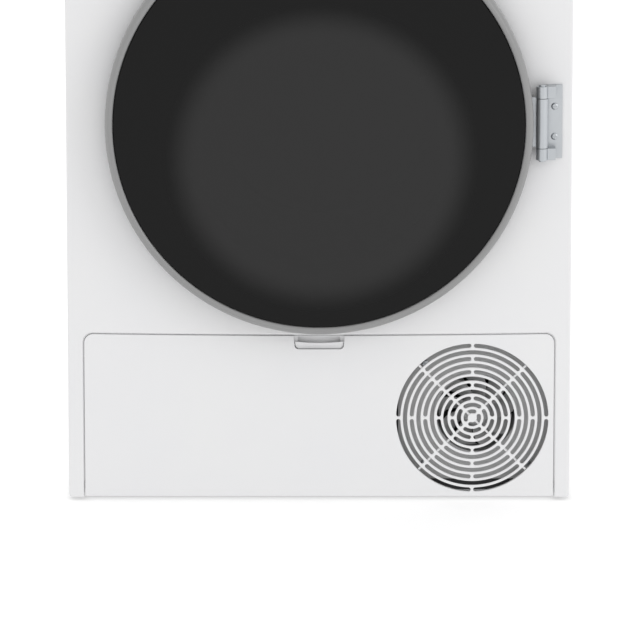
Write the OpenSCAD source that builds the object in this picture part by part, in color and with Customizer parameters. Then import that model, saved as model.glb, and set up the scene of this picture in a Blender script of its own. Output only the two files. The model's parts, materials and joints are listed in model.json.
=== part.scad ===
// Front-loading heat-pump clothes dryer, built up from its separate pieces.
// Front faces -Y, +X is to the right of a person facing it, +Z is up.
// The origin is the middle of the footprint, on the floor.

/* [Cabinet] */
// Width over the side panels
cabinet_w = 596; // [590:1:604]
// Height from the floor to the top of the worktop
cabinet_h = 849; // [845:1:860]
// Distance of the front panel's face ahead of the origin
front_face = 286; // [286:0.5:287]
// Distance of the side panels' rear edge behind the origin
side_rear = 322; // [318:0.5:326]
// Thickness of the cabinet's steel sheet
sheet_t = 1.2; // [1:0.1:1.4]
// Thickness of the worktop
worktop_t = 24; // [20:1:28]
// Height of the control fascia
fascia_h = 94; // [92:1:96]

/* [Kick flap] */
// Half width of the flap's opening in the front panel
flap_opening_half = 280; // [278:0.5:281]
// Height of the flap's top seam at its middle
flap_top = 203; // [201:0.5:205]
// How much lower the top seam is in the middle than at its ends
flap_bow = 2.1; // [1:0.1:3]
// Gap round the flap
flap_gap = 1.2; // [1:0.1:2]
// Wall of the flap
flap_t = 2.5; // [2:0.1:3]
// Radius of the flap's top corners
flap_corner = 11; // [9:0.5:13]

/* [Ventilation grille] */
// Centre of the grille to the right of the middle
grille_x = 182; // [175:0.5:186]
// Centre of the grille above the floor
grille_z = 101.5; // [98:0.5:105]
// Distance from one ring of slots to the next
grille_pitch = 8; // [7.5:0.05:8.1]
// Width of a slot
slot_w = 4.9; // [4:0.1:5.2]
// Number of slot rings
grille_rings = 11; // [8:1:11]
// Width of the bridges between slots
bridge_w = 3; // [2:0.1:4]

/* [Door] */
// Height of the door's centre
door_z = 461.5; // [459:0.5:463]
// Outer radius of the door ring
ring_r = 251.5; // [250:0.5:252]
// Radius of the door glass
glass_r = 241.5; // [240.5:0.1:241.8]
// Distance of the glass's crown ahead of the origin
glass_front = 328; // [327:0.5:328]
// Radius of the loading opening
throat_r = 175; // [174:0.5:176]
// Radius of the door bowl at its mouth
bowl_r = 165; // [160:0.5:166]
// Depth of the bowl's floor ahead of the origin
bowl_floor = 205; // [203:0.5:215]

/* [Drum] */
// Height of the drum's axis
drum_z = 500; // [498:0.5:502]
// Outer radius of the drum
drum_r = 275; // [272:0.5:276]
// Sheet thickness of the drum
drum_t = 1.2; // [1:0.1:1.5]
// Distance of the drum's mouth ahead of the origin
drum_front = 205; // [204:0.5:206]
// Distance of the drum's back wall behind the origin
drum_back = 270; // [268:0.5:271]
// Height of a lifter above the drum wall
lifter_h = 52; // [40:1:60]

/* [Drive] */
// Motor axis to the right of the middle
motor_x = 60; // [58:0.5:62]
// Motor axis above the floor
motor_z = 150; // [148:0.5:152]
// Radius of the motor pulley
pulley_r = 9; // [8:0.1:10]
// Radius of a drum support roller
roller_r = 24; // [22:0.5:25]
// Angle of the support rollers from straight down
roller_angle = 38; // [36:0.5:40]

/* [Controls] */
// Radius of the programme knob
knob_r = 28; // [24:0.5:30]
// Radius of the round buttons
button_r = 8; // [7:0.1:8.5]
// Travel of a button
button_travel = 1.5; // [1:0.1:1.8]

/* [Hidden] */
$fn = 96;

half_w = cabinet_w / 2;
side_in = half_w - sheet_t;
front_y = -front_face;
panel_back = front_y + sheet_t;
panel_bottom = 4;
worktop_z = cabinet_h - worktop_t;
fascia_z = worktop_z - fascia_h;
return_y = front_y + 14;
rear_sheet_y = 286;
cover_rear = 328;
base_front = -262;
base_rear = rear_sheet_y;
base_floor = 10;
base_floor_t = 4;
base_wall_h = 62;
skirt_half = 262;
foot_x = 236;
foot_y = 225;
stem_r = 5;
stem_top = 29;
fit = 0.05;
running_gap = 0.3;
bulkhead_y = -230;
bulkhead_t = 3;
flap_axis = [-277, 16];
flap_bottom = 5.5;
bow_r = flap_opening_half * flap_opening_half / (2 * flap_bow);
latch_axis = [-281, 188];
hinge_x = 262;
hinge_y = -300;
tunnel_x0 = -268;
tunnel_x1 = -45;
tunnel_top = 212;
tunnel_bottom = 30;
tunnel_back = 95;
cool_fan_x = 187;
cool_fan_z = 102;
knob_z = fascia_z + 47;
gland_x = -240;
gland_z = 215;
tank_z0 = 764;
tank_z1 = 819;
tank_x0 = -288;
tank_x1 = -104;
tank_back = 190;
belt_y = 118;
belt_w = 10;
belt_t = 2.5;

white = "#ececec";
grey = "#9a9a9a";
dark = "#2a2a2a";
zinc = "#b8bcc0";

// ---- Shapes that several pieces share ----

// A solid box given by its lowest and highest corners
module box(a, b) {
    translate(a)
        cube(b - a);
}

// A round bar along Y from y0 to y1
module bar_y(x, z, r, y0, y1) {
    translate([x, y1, z])
        rotate([90, 0, 0])
            cylinder(r = r, h = y1 - y0);
}

// A round bar along X from x0 to x1
module bar_x(y, z, r, x0, x1) {
    translate([x0, y, z])
        rotate([0, 90, 0])
            cylinder(r = r, h = x1 - x0);
}

// An outline drawn in X and Z, made solid from y0 to y1
module plate_y(y0, y1) {
    translate([0, y1, 0])
        rotate([90, 0, 0])
            linear_extrude(y1 - y0)
                children();
}

// A profile of radius and y, turned round an axis along Y through x, z
module turned_y(x, z) {
    translate([x, 0, z])
        rotate([-90, 0, 0])
            rotate_extrude($fn = 180)
                children();
}

// A rectangle with round corners, centred
module round_rect(w, h, r) {
    square([w - 2 * r, h], center = true);
    square([w, h - 2 * r], center = true);
    for (sx = [-1, 1], sy = [-1, 1])
        translate([sx * (w / 2 - r), sy * (h / 2 - r)])
            circle(r, $fn = 48);
}

// The outline of a band laid tightly round two circles; its flanks run a hair inside the tangents
module band_outline(c1, r1, c2, r2) {
    inset = 0.2;
    d = norm(c2 - c1);
    line_a = atan2(c2[1] - c1[1], c2[0] - c1[0]);
    tip_a = acos((r1 - r2) / d);
    u = [cos(line_a + tip_a), sin(line_a + tip_a)];
    v = [cos(line_a - tip_a), sin(line_a - tip_a)];
    translate(c1)
        circle(r1, $fn = 180);
    translate(c2)
        circle(r2, $fn = 96);
    polygon([c1 + (r1 - inset) * u, c2 + (r2 - inset) * u, c2 + (r2 - inset) * v, c1 + (r1 - inset) * v]);
}

// The kick flap's outline, grown by g
module flap_outline(g) {
    half = flap_opening_half - flap_gap + g;
    top = flap_top + flap_bow - flap_gap + g;
    difference() {
        union() {
            translate([-half, flap_bottom - 2 * g])
                square([2 * half, top - flap_bottom + 2 * g - flap_corner]);
            translate([-half + flap_corner, top - flap_corner - 1])
                square([2 * (half - flap_corner), flap_corner + 1]);
            for (s = [-1, 1])
                translate([s * (half - flap_corner), top - flap_corner])
                    circle(flap_corner, $fn = 64);
        }
        translate([0, top - flap_bow + bow_r])
            circle(bow_r, $fn = 2400);
    }
}

// ---- Cabinet ----

// Front sheet with folded returns, the loading hole and the flap's opening
module front_panel() {
    depth = return_y - front_y;
    color(white)
        difference() {
            translate([0, 0, panel_bottom])
                linear_extrude(fascia_z - 1 - panel_bottom)
                    difference() {
                        translate([0, front_y + depth])
                            round_rect(cabinet_w, 2 * depth, 3);
                        translate([0, front_y + depth])
                            round_rect(cabinet_w - 2 * sheet_t, 2 * (depth - sheet_t), 3 - sheet_t);
                        translate([-half_w - 1, return_y])
                            square([cabinet_w + 2, depth + 1]);
                    }
            bar_y(0, door_z, throat_r + 8, front_y - 1, return_y);
            plate_y(front_y - 1, panel_back + 1)
                flap_outline(flap_gap);
            plate_y(front_y - 1, panel_back + 1)
                translate([-flap_opening_half, 0])
                    square([2 * flap_opening_half, flap_bottom + 1]);
            // Hole for the door's hook
            box([-212, front_y - 1, door_z - 16], [-200, return_y, door_z + 16]);
            for (s = [-1, 1])
                translate([s * half_w, front_y - 1, panel_bottom])
                    rotate([0, 45, 0])
                        cube([5, 2 * depth + 4, 5], center = true);
        }
}

// One side sheet with its rear, top and bottom flanges; s is -1 on the left
module side_panel(s) {
    flange = 14;
    color(white)
        scale_side(s)
            union() {
                box([side_in, return_y + 0.4, panel_bottom], [half_w, side_rear, worktop_z]);
                box([half_w - flange, side_rear - sheet_t, panel_bottom], [half_w, side_rear, worktop_z]);
                box([half_w - flange, return_y + 0.4, worktop_z - sheet_t], [half_w, side_rear, worktop_z]);
            }
}

// Turns a piece made on the right into the one on the left
module scale_side(s) {
    if (s < 0)
        mirror([1, 0, 0])
            children();
    else
        children();
}

// Inner rear wall: carries the drum's bearing and lets the hot air through
module rear_panel() {
    color(zinc)
        difference() {
            box([-side_in, rear_sheet_y, panel_bottom + 8],
                [side_in, rear_sheet_y + sheet_t, worktop_z - 2]);
            bar_y(0, drum_z, 28, rear_sheet_y - 1, rear_sheet_y + 3);
            for (a = [30:60:330])
                bar_y(150 * cos(a), drum_z + 150 * sin(a), 56, rear_sheet_y - 1, rear_sheet_y + 3);
            bar_y(motor_x, motor_z, 50, rear_sheet_y - 1, rear_sheet_y + 3);
            bar_y(gland_x, gland_z, 11, rear_sheet_y - 1, rear_sheet_y + 3);
            // Pressed vent slots beside the compressor
            for (i = [0:7])
                box([185, rear_sheet_y - 1, 60 + 14 * i], [265, rear_sheet_y + 3, 66 + 14 * i]);
        }
}

// Bulged duct cover that brings the hot air from the fan up to the drum
module rear_duct_cover() {
    y0 = rear_sheet_y + sheet_t;
    color(zinc)
        difference() {
            union() {
                plate_y(y0, y0 + 1.2)
                    band_outline([0, drum_z], 270, [motor_x, motor_z], 116);
                plate_y(y0, cover_rear)
                    band_outline([0, drum_z], 258, [motor_x, motor_z], 104);
            }
            plate_y(y0 - 1, cover_rear - 1.2)
                band_outline([0, drum_z], 256.8, [motor_x, motor_z], 102.8);
        }
}

// Worktop board in its moulded edge
module worktop() {
    y0 = front_y + 1;
    depth = side_rear - y0;
    color(white)
        difference() {
            translate([0, y0 + depth / 2, worktop_z])
                linear_extrude(worktop_t)
                    round_rect(cabinet_w, depth, 7);
            // Shallow step round the top, where the board meets its edge
            translate([0, y0 + depth / 2, cabinet_h - 0.8])
                linear_extrude(1)
                    difference() {
                        round_rect(cabinet_w - 24, depth - 24, 4);
                        round_rect(cabinet_w - 27, depth - 27, 3);
                    }
        }
}

// Moulded base: floor, walls, skirt, foot bosses and the flap's hinge lugs
module base_tray() {
    wall = 3;
    color(dark)
        difference() {
            union() {
                difference() {
                    box([-side_in, base_front, base_floor], [side_in, base_rear, base_wall_h]);
                    box([-side_in + wall, base_front + wall, base_floor + base_floor_t],
                        [side_in - wall, base_rear - wall, base_wall_h + 1]);
                    // The front wall is low, so that the exchanger can be reached
                    box([-flap_opening_half, base_front - 1, base_floor + 10],
                        [flap_opening_half, base_front + wall + 1, base_wall_h + 1]);
                }
                difference() {
                    box([-skirt_half, base_front, 2.5], [skirt_half, base_rear - 6, base_floor]);
                    box([-skirt_half + wall, base_front + wall, 1],
                        [skirt_half - wall, base_rear - 6 - wall, base_floor + 1]);
                }
                for (sx = [-1, 1], sy = [-1, 1])
                    translate([sx * foot_x, sy * foot_y, base_floor])
                        cylinder(r = 13, h = stem_top - 1 - base_floor);
                for (s = [-1, 1])
                    scale_side(s)
                        box([flap_opening_half, panel_back, base_floor],
                            [flap_opening_half + 8, base_front + 1, flap_axis[1] + 8]);
            }
            for (sx = [-1, 1], sy = [-1, 1])
                translate([sx * foot_x, sy * foot_y, base_floor - 1])
                    cylinder(r = stem_r + fit, h = 40);
            bar_x(flap_axis[0], flap_axis[1], 3 + fit, -half_w, half_w);
            for (s = [-1, 1])
                scale_side(s)
                    box([265, base_front - 40, base_floor - 1], [flap_opening_half, base_front, 40]);
        }
}

// Inner front shield: throat of the opening, filter chute, drum lip and roller axles
module front_bulkhead() {
    color(grey)
        difference() {
            union() {
                plate_y(bulkhead_y, bulkhead_y + bulkhead_t)
                    translate([0, 480])
                        round_rect(574, 520, 40);
                bar_y(0, door_z, throat_r + 3, -276, bulkhead_y + 1);
                plate_y(-276, -273)
                    translate([0, 478])
                        round_rect(560, 480, 60);
                bar_y(0, drum_z, 229, bulkhead_y, -192);
                box([-92, -275, 213], [92, bulkhead_y + 1, 330]);
                box([-14, -274.8, 168], [14, -272.4, 214]);
                for (s = [-1, 1])
                    roller_axle(s);
            }
            bar_y(0, door_z, throat_r, -290, -180);
            bar_y(0, drum_z, 226, bulkhead_y + bulkhead_t, -180);
            // Filter chute
            box([-88, -272, 212], [88, -241, 331]);
            // Window for the door's catch
            box([-223, -277, door_z - 27], [-189, -260, door_z + 27]);
            // Keeper slot for the flap's latch
            box([-8, -276, 182.5], [8, -272, 194.5]);
        }
}

module roller_axle(s) {
    reach = drum_r + roller_r + running_gap;
    bar_y(s * reach * sin(roller_angle), drum_z - reach * cos(roller_angle), 5, bulkhead_y, -182);
}

// Screws that hold the worktop, duct cover, hinge bracket and fan frame
module case_screws() {
    color("silver") {
        for (x = [-260, 0, 260])
            screw(x, worktop_z - 8, rear_sheet_y + sheet_t, 1);
        for (a = [15:30:165])
            screw(264 * cos(a), drum_z + 264 * sin(a), rear_sheet_y + sheet_t + 1.2, 1);
        for (dz = [-18, 18])
            screw(hinge_x + 15, door_z + dz, front_y - 3, -1);
        for (dx = [-1, 1], dz = [-1, 1])
            screw(cool_fan_x + 61 * dx, cool_fan_z + 61 * dz, base_front - 4, -1);
    }
}

// Head of a pan screw seated on the plane y; s is 1 when it faces the rear
module screw(x, z, y, s) {
    translate([x, y, z])
        rotate([-90 * s, 0, 0])
            difference() {
                cylinder(r1 = 3.6, r2 = 2.8, h = 2, $fn = 32);
                translate([0, 0, 1])
                    cylinder(r = 1.4, h = 2, $fn = 6);
            }
}

// ---- Controls ----

// Moulded fascia with openings for the tank, knob, buttons and display
module fascia() {
    color(white)
        difference() {
            translate([0, 0, fascia_z])
                linear_extrude(fascia_h - 0.6)
                    difference() {
                        translate([0, front_y + 16])
                            round_rect(cabinet_w, 32, 5);
                        translate([0, front_y + 16])
                            round_rect(cabinet_w - 6, 26, 3);
                        translate([-half_w - 1, front_y + 13.6])
                            square([cabinet_w + 2, 30]);
                    }
            box([tank_x0 - 5, front_y - 1, fascia_z + 6], [tank_x1 + 5, front_y + 14, worktop_z - 3]);
            bar_y(0, knob_z, 4 + fit, front_y - 1, front_y + 8);
            bar_y(-62, knob_z, button_r + fit, front_y - 1, front_y + 8);
            bar_y(264, knob_z, button_r + fit, front_y - 1, front_y + 8);
            for (x = [206, 232])
                bar_y(x, knob_z, button_r + fit, front_y - 1, front_y + 8);
            box([60, front_y - 1, knob_z - 16], [184, front_y + 8, knob_z + 16]);
        }
}

// Smoked window over the display, set flush in the fascia
module display_window() {
    color(dark)
        box([60.2, front_y - 0.3, knob_z - 15.8], [183.8, front_y + 2.6, knob_z + 15.8]);
}

// Circuit board behind the fascia, with its relays and switches
module control_board() {
    y0 = -258;
    color("darkgreen")
        union() {
            box([-86, y0, knob_z - 34], [286, y0 + 1.6, knob_z + 34]);
            for (x = [80, 110, 140])
                box([x, y0 + 1.5, knob_z - 24], [x + 19, y0 + 17, knob_z - 8]);
            box([-50, y0 + 1.5, knob_z + 4], [-12, y0 + 26, knob_z + 30]);
            bar_y(0, knob_z, 8, y0 - 7, y0 + 0.5);
            for (x = [-62, 206, 232, 264])
                bar_y(x, knob_z, 2.5, y0 - 3, y0 + 0.5);
            // Posts that fix the board behind the window
            for (x = [66, 178], z = [-28, 28])
                bar_y(x, knob_z + z, 3, front_y + 3, y0 + 0.5);
        }
}

// Programme knob on its shaft, with a grip ridge and a pointer notch
module program_knob() {
    color("silver")
        difference() {
            union() {
                turned_y(0, knob_z)
                    polygon([[0, front_y - 0.4], [knob_r, front_y - 0.4], [knob_r, front_y - 17],
                        [knob_r - 1, front_y - 19.2], [knob_r - 3, front_y - 20], [0, front_y - 20]]);
                bar_y(0, knob_z, 4, front_y - 1, -265.4);
            }
            box([-1, front_y - 21, knob_z + knob_r - 11], [1, front_y - 19, knob_z + knob_r - 2]);
        }
}

// Round push button with a retaining flange and a stem behind the fascia
module push_button(x) {
    color("silver")
        union() {
            bar_y(x, knob_z, button_r, front_y - 3, front_y + 3.5);
            bar_y(x, knob_z, button_r + 2, front_y + 3.4, front_y + 5);
            bar_y(x, knob_z, 2, front_y + 4, -261.2 - button_travel);
        }
}

module power_button() {
    push_button(-62);
}

module start_button() {
    push_button(264);
}

module option_button_left() {
    push_button(206);
}

module option_button_right() {
    push_button(232);
}

// ---- Condensate tank ----

// Drawer front with a finger recess along its lower edge
module tank_front() {
    z0 = fascia_z + 7.5;
    z1 = worktop_z - 4.5;
    color(white)
        difference() {
            box([tank_x0 - 3.5, front_y - 1, z0], [tank_x1 + 3.5, front_y + 5, z1]);
            box([tank_x0 + 40, front_y + 1.5, z0 - 1], [tank_x1 - 40, front_y + 6, z0 + 16]);
            box([tank_x0 + 40, front_y - 2, z0 - 1], [tank_x1 - 40, front_y + 2, z0 + 3]);
        }
}

// Flat condensate tank with its filling funnel at the rear
module water_tank() {
    wall = 2;
    color("#d7dde0")
        difference() {
            box([tank_x0, front_y + 5, tank_z0], [tank_x1, tank_back, tank_z1]);
            box([tank_x0 + wall, front_y + 5 + wall, tank_z0 + wall],
                [tank_x1 - wall, tank_back - wall, tank_z1 - wall]);
            box([tank_x0 + 22, tank_back - 62, tank_z1 - 4], [tank_x1 - 22, tank_back - 22, tank_z1 + 1]);
        }
}

// Sleeve under the worktop that guides the tank
module tank_bay() {
    gap = 1;
    wall = 1.6;
    color(grey)
        difference() {
            box([tank_x0 - gap - wall, front_y + 15, tank_z0 - gap - wall],
                [tank_x1 + gap + wall, tank_back + 8, tank_z1 + gap + wall]);
            box([tank_x0 - gap, front_y + 14, tank_z0 - gap],
                [tank_x1 + gap, tank_back + 5, tank_z1 + gap]);
            box([tank_x0 + 22, tank_back - 62, tank_z1], [tank_x1 - 22, tank_back - 22, tank_z1 + 9]);
        }
}

// ---- Door ----

// Outer ring with a rolled rim; it stands a little off the cabinet
module door_ring() {
    color(grey)
        turned_y(0, door_z)
            polygon(concat([[glass_r + 0.5, -318], [glass_r + 0.7, -320.6]],
                [for (a = [0:15:90]) [ring_r - 5 + 5 * sin(a), -315.6 - 5 * cos(a)]],
                [[ring_r, -299], [ring_r - 3, -296], [226, -296], [226, -299], [glass_r + 0.5, -299]]));
}

// Domed smoked cover of the door
module door_glass() {
    edge_y = -319.5;
    rise = glass_front + edge_y;
    dome_r = (glass_r * glass_r + rise * rise) / (2 * rise);
    color("#242424")
        turned_y(0, door_z)
            polygon(concat(
                [for (i = [0:16]) dome_point(glass_r * i / 16, dome_r, 0)],
                [for (i = [16:-1:0]) dome_point(glass_r * i / 16, dome_r, 3)]));
}

// Point of the glass's curve at radius r, the given depth behind its front
function dome_point(r, dome_r, depth) =
    [r, -glass_front + dome_r - sqrt(dome_r * dome_r - r * r) + depth];

// Moulded frame behind the ring, which carries the bowl, hook and hinge strap
module door_frame() {
    color("#c9c9c9")
        difference() {
            turned_y(0, door_z)
                polygon([[bowl_r + 1, -291], [224, -291], [224, -299.2], [glass_r - 1, -299.6],
                    [glass_r - 1, -315],
                    [glass_r - 5, -315], [glass_r - 5, -302], [214, -302], [200, -312], [196, -312],
                    [208, -302], [204, -294], [bowl_r + 4, -294], [bowl_r + 4, -312], [bowl_r + 1, -312]]);
            box([190, -293.6, door_z - 31], [240, -290, door_z + 31]);
            box([-212, -294, door_z - 20], [-196, -290, door_z + 20]);
        }
}

// Bowl that fills the opening and throws the laundry back into the drum
module door_bowl() {
    wall = 3;
    floor_r = 150;
    color("#505050")
        turned_y(0, door_z)
            polygon([[0, -bowl_floor], [floor_r - 14, -bowl_floor], [floor_r - 4, -bowl_floor - 4],
                [floor_r, -bowl_floor - 14], [bowl_r, -286], [bowl_r, -313], [bowl_r + 8, -313],
                [bowl_r + 8, -316],
                [bowl_r - wall, -316], [bowl_r - wall, -286], [floor_r - wall, -bowl_floor - 15],
                [floor_r - wall - 4, -bowl_floor - 6], [floor_r - 16, -bowl_floor - wall],
                [0, -bowl_floor - wall]]);
}

// Rubber seal on the cabinet round the opening
module door_seal() {
    color("#3a3a3a")
        turned_y(0, door_z)
            polygon([[throat_r, front_y + 10], [throat_r, front_y - 1], [throat_r + 3, front_y - 4.4],
                [throat_r + 9, front_y - 4.4], [throat_r + 12, front_y - 1], [throat_r + 12, front_y],
                [throat_r + 8, front_y], [throat_r + 7.5, front_y + 10]]);
}

// Fixed half of the hinge, screwed to the front panel
module hinge_bracket() {
    color(zinc)
        difference() {
            union() {
                box([hinge_x + 7, front_y - 3, door_z - 44], [hinge_x + 24, front_y, door_z + 44]);
                for (s = [-1, 1]) {
                    translate([hinge_x, hinge_y, door_z + s * 37 - 7])
                        cylinder(r = 7, h = 14);
                    box([hinge_x, hinge_y - 2, door_z + s * 37 - 7],
                        [hinge_x + 16, front_y - 2, door_z + s * 37 + 7]);
                }
            }
            translate([hinge_x, hinge_y, door_z - 60])
                cylinder(r = 4, h = 120);
        }
}

// Moving half of the hinge, fixed to the door frame
module hinge_strap() {
    color(zinc)
        difference() {
            union() {
                translate([hinge_x, hinge_y, door_z - 29.6])
                    cylinder(r = 7, h = 59.2);
                box([196, -293.4, door_z - 29.6], [hinge_x, -291, door_z + 29.6]);
                box([hinge_x - 4, hinge_y + 4, door_z - 29.6], [hinge_x, -291, door_z + 29.6]);
            }
            translate([hinge_x, hinge_y, door_z - 60])
                cylinder(r = 4 + fit, h = 120);
        }
}

module hinge_pin() {
    color("silver")
        translate([hinge_x, hinge_y, door_z - 46])
            cylinder(r = 4, h = 92);
}

// Hook on the door that enters the front panel
module door_hook() {
    color("silver")
        difference() {
            union() {
                box([-212, -294, door_z - 20], [-196, -291, door_z + 20]);
                box([-208, -291.5, door_z - 10], [-204, -270, door_z + 10]);
            }
            box([-209, -281, door_z - 6], [-203, -273, door_z + 6]);
        }
}

// Sprung catch behind the front panel that takes the hook
module door_catch() {
    color(dark)
        difference() {
            box([-222, panel_back, door_z - 26], [-190, -262, door_z + 26]);
            box([-213, panel_back - 1, door_z - 15], [-199, -266, door_z + 15]);
        }
}

// ---- Kick flap ----

// Moulded flap with its rim, grille, finger pocket and hinge pins
module kick_flap() {
    rim_back = -268;
    rim_half = flap_opening_half - flap_gap;
    color(white)
        difference() {
            union() {
                difference() {
                    plate_y(front_y, rim_back)
                        flap_outline(0);
                    plate_y(front_y + flap_t, rim_back + 1)
                        flap_outline(-2);
                    box([2 - rim_half, front_y + flap_t, 0], [rim_half - 2, rim_back + 1, 24]);
                }
                for (s = [-1, 1])
                    scale_side(s)
                        bar_x(flap_axis[0], flap_axis[1], 3, rim_half - 1, flap_opening_half + 6);
                // Walls of the finger pocket
                box([-32, front_y + 1, 183], [32, -275.6, 202]);
                // Ribs that stiffen the grille from behind
                for (a = [45, 135])
                    translate([grille_x, 0, grille_z])
                        rotate([0, a, 0])
                            box([-78, front_y + flap_t - 0.1, -1.2], [78, front_y + flap_t + 4, 1.2]);
                plate_y(front_y + 1, front_y + 7)
                    translate([grille_x, grille_z])
                        difference() {
                            circle(grille_pitch * grille_rings - 5 + grille_pitch, $fn = 128);
                            circle(grille_pitch * grille_rings - 7 + grille_pitch, $fn = 128);
                        }
            }
            plate_y(front_y - 1, front_y + flap_t)
                translate([grille_x, grille_z])
                    for (k = [1:grille_rings])
                        slot_ring(k);
            plate_y(front_y - 1, -276.5)
                pocket_outline();
            box([-8, -277, 183.8], [8, -274, 195]);
            // Room for the keeper, and the latch's pivot holes
            box([-16, -275.6, 193], [16, rim_back + 1, 210]);
            bar_x(latch_axis[0], latch_axis[1], 1.2 + fit, -33, 33);
        }
}

// Slots of ring k, with round ends; the bridges alternate between the rings
module slot_ring(k) {
    r = k * grille_pitch;
    slots = k == 1 ? 2 : 4;
    turn = k % 2 == 1 ? 0 : 45;
    bridge_a = (bridge_w + slot_w) / 2 / r * 180 / PI;
    step_a = 360 / slots;
    for (i = [0:slots - 1])
        slot_arc(r, turn + i * step_a + bridge_a + (k == 1 ? 45 : 0),
            turn + (i + 1) * step_a - bridge_a + (k == 1 ? 45 : 0));
}

// One curved slot about the origin, from angle a0 to angle a1
module slot_arc(r, a0, a1) {
    far = 2 * r;
    mid = (a0 + a1) / 2;
    difference() {
        circle(r + slot_w / 2, $fn = 128);
        circle(r - slot_w / 2, $fn = 128);
        difference() {
            circle(far, $fn = 24);
            if (a1 - a0 < 180)
                polygon([[0, 0], far * [cos(a0), sin(a0)], 2 * far * [cos(mid), sin(mid)],
                    far * [cos(a1), sin(a1)]]);
        }
    }
    for (a = [a0, a1])
        translate([r * cos(a), r * sin(a)])
            circle(slot_w / 2 - 0.08, $fn = 24);
}

// Front outline of the finger pocket, narrower at its foot
module pocket_outline() {
    polygon([[-30, 204], [-29, 189], [-27.5, 186.6], [-25, 185.6], [25, 185.6], [27.5, 186.6],
        [29, 189], [30, 204]]);
}

// Tilting latch: a finger lip in front and an arm with a barb behind
module flap_latch() {
    color("#f2f2f2")
        union() {
            plate_y(-285.7, -282.2)
                polygon([[-28, 194.5], [-26.6, 189.2], [-25.6, 187.6], [-23.5, 186.8], [23.5, 186.8],
                    [25.6, 187.6],
                    [26.6, 189.2], [28, 194.5]]);
            bar_x(latch_axis[0], latch_axis[1], 1.2, -31.6, 31.6);
            box([-6, -282.5, 187], [6, -269.5, 189.2]);
            box([-6, -271.8, 183.6], [6, -269.5, 188]);
        }
}

// ---- Heat pump ----

// Plastic tunnel round the heat exchangers, with the channel to the fan inlet
module exchanger_tunnel() {
    wall = 2.5;
    channel_top = 178;
    color(dark)
        difference() {
            union() {
                box([tunnel_x0, -256, tunnel_bottom], [tunnel_x1, tunnel_back, tunnel_top]);
                box([tunnel_x0, tunnel_back - 1, 32], [tunnel_x1, rear_sheet_y - 4, channel_top]);
                box([tunnel_x1 - 1, 256, 86], [motor_x + 68, rear_sheet_y - 4, 206]);
            }
            box([tunnel_x0 + wall, -257, tunnel_bottom + wall],
                [tunnel_x1 - wall, tunnel_back - wall, tunnel_top - wall]);
            box([tunnel_x0 + wall, tunnel_back - 4, 32 + wall],
                [tunnel_x1 - wall, rear_sheet_y - 4 - wall, channel_top - wall]);
            box([tunnel_x1 - 5, 256 + wall, 86 + wall],
                [motor_x + 68 - wall, rear_sheet_y - 4 - wall, channel_top - wall]);
            box([motor_x - 56, 256 + wall, 86 + wall],
                [motor_x + 68 - wall, rear_sheet_y - 4 - wall, 206 - wall]);
            bar_y(motor_x, motor_z, 50, rear_sheet_y - 10, rear_sheet_y + 1);
            bar_y(motor_x, motor_z, 9, 250, 262);
            // Inlet under the filter chute
            box([-86, -250, tunnel_top - 5], [-50, -238, tunnel_top + 1]);
        }
}

// Removable cover of the heat exchanger with its pull bar
module exchanger_cover() {
    cover_bottom = tunnel_bottom + 4;
    // The rim stays behind the levers, which turn over it
    rim_front = -263.6;
    color(grey)
        difference() {
            union() {
                box([tunnel_x0 + 4, -262, cover_bottom], [tunnel_x1 - 4, -256, tunnel_top - 6]);
                box([tunnel_x0 + 4, rim_front, cover_bottom], [tunnel_x1 - 4, -261.5, cover_bottom + 5]);
                box([tunnel_x0 + 4, rim_front, tunnel_top - 11], [tunnel_x1 - 4, -261.5, tunnel_top - 6]);
                box([tunnel_x0 + 4, rim_front, cover_bottom], [tunnel_x0 + 9, -261.5, tunnel_top - 6]);
                box([tunnel_x1 - 9, rim_front, cover_bottom], [tunnel_x1 - 4, -261.5, tunnel_top - 6]);
                for (z = [90, 130])
                    box([-196, -270, z - 3], [-118, -261.5, z + 3]);
                for (z = cover_lever_z())
                    bar_y(-70, z, 12, -264, -259.5);
            }
            for (z = cover_lever_z())
                bar_y(-70, z, 4 + fit, -270, -255);
        }
}

function cover_lever_z() = [76, 158];

// Quarter-turn lever that locks the cover
module cover_lever(z) {
    color("#e07820")
        union() {
            bar_y(-70, z, 4, -266, -257);
            bar_y(-70, z, 11, -270, -264.3);
            difference() {
                box([-75, -270, z - 34], [-65, -264.3, z]);
                box([-72, -270.6, z - 30], [-68, -269, z - 12]);
            }
        }
}

module upper_cover_lever() {
    cover_lever(cover_lever_z()[1]);
}

module lower_cover_lever() {
    cover_lever(cover_lever_z()[0]);
}

// Finned block: plates across the tubes, which run from side to side
module finned_block(y0, y1, pitch) {
    x0 = tunnel_x0 + 8;
    x1 = tunnel_x1 - 8;
    z0 = tunnel_bottom + 6;
    z1 = tunnel_top - 8;
    union() {
        for (x = [x0 + 6:pitch:x1 - 6])
            box([x, y0, z0], [x + 1, y1, z1]);
        for (y = [y0 + 16:32:y1 - 10], z = [z0 + 22:44:z1 - 10])
            bar_x(y, z, 5, x0, x1);
        for (x = [x0, x1 - 1.5])
            box([x, y0, z0], [x + 1.5, y1, z1]);
    }
}

module evaporator() {
    color("silver")
        finned_block(-232, -142, 9);
}

module condenser() {
    color("silver")
        finned_block(-110, 60, 9);
}

// Hermetic rotary compressor with its feet and terminal cover
module compressor() {
    x = 185;
    y = 30;
    color("#202020")
        union() {
            translate([x, y, 38])
                rotate_extrude($fn = 120)
                    polygon([[0, 0], [40, 0], [54, 6], [58, 16], [58, 140], [56, 154], [46, 166], [28, 172],
                        [0, 174]]);
            translate([x, y, 210])
                cylinder(r = 14, h = 10, $fn = 64);
            for (a = [30, 150, 270])
                hull_foot(x, y, a);
        }
}

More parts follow.
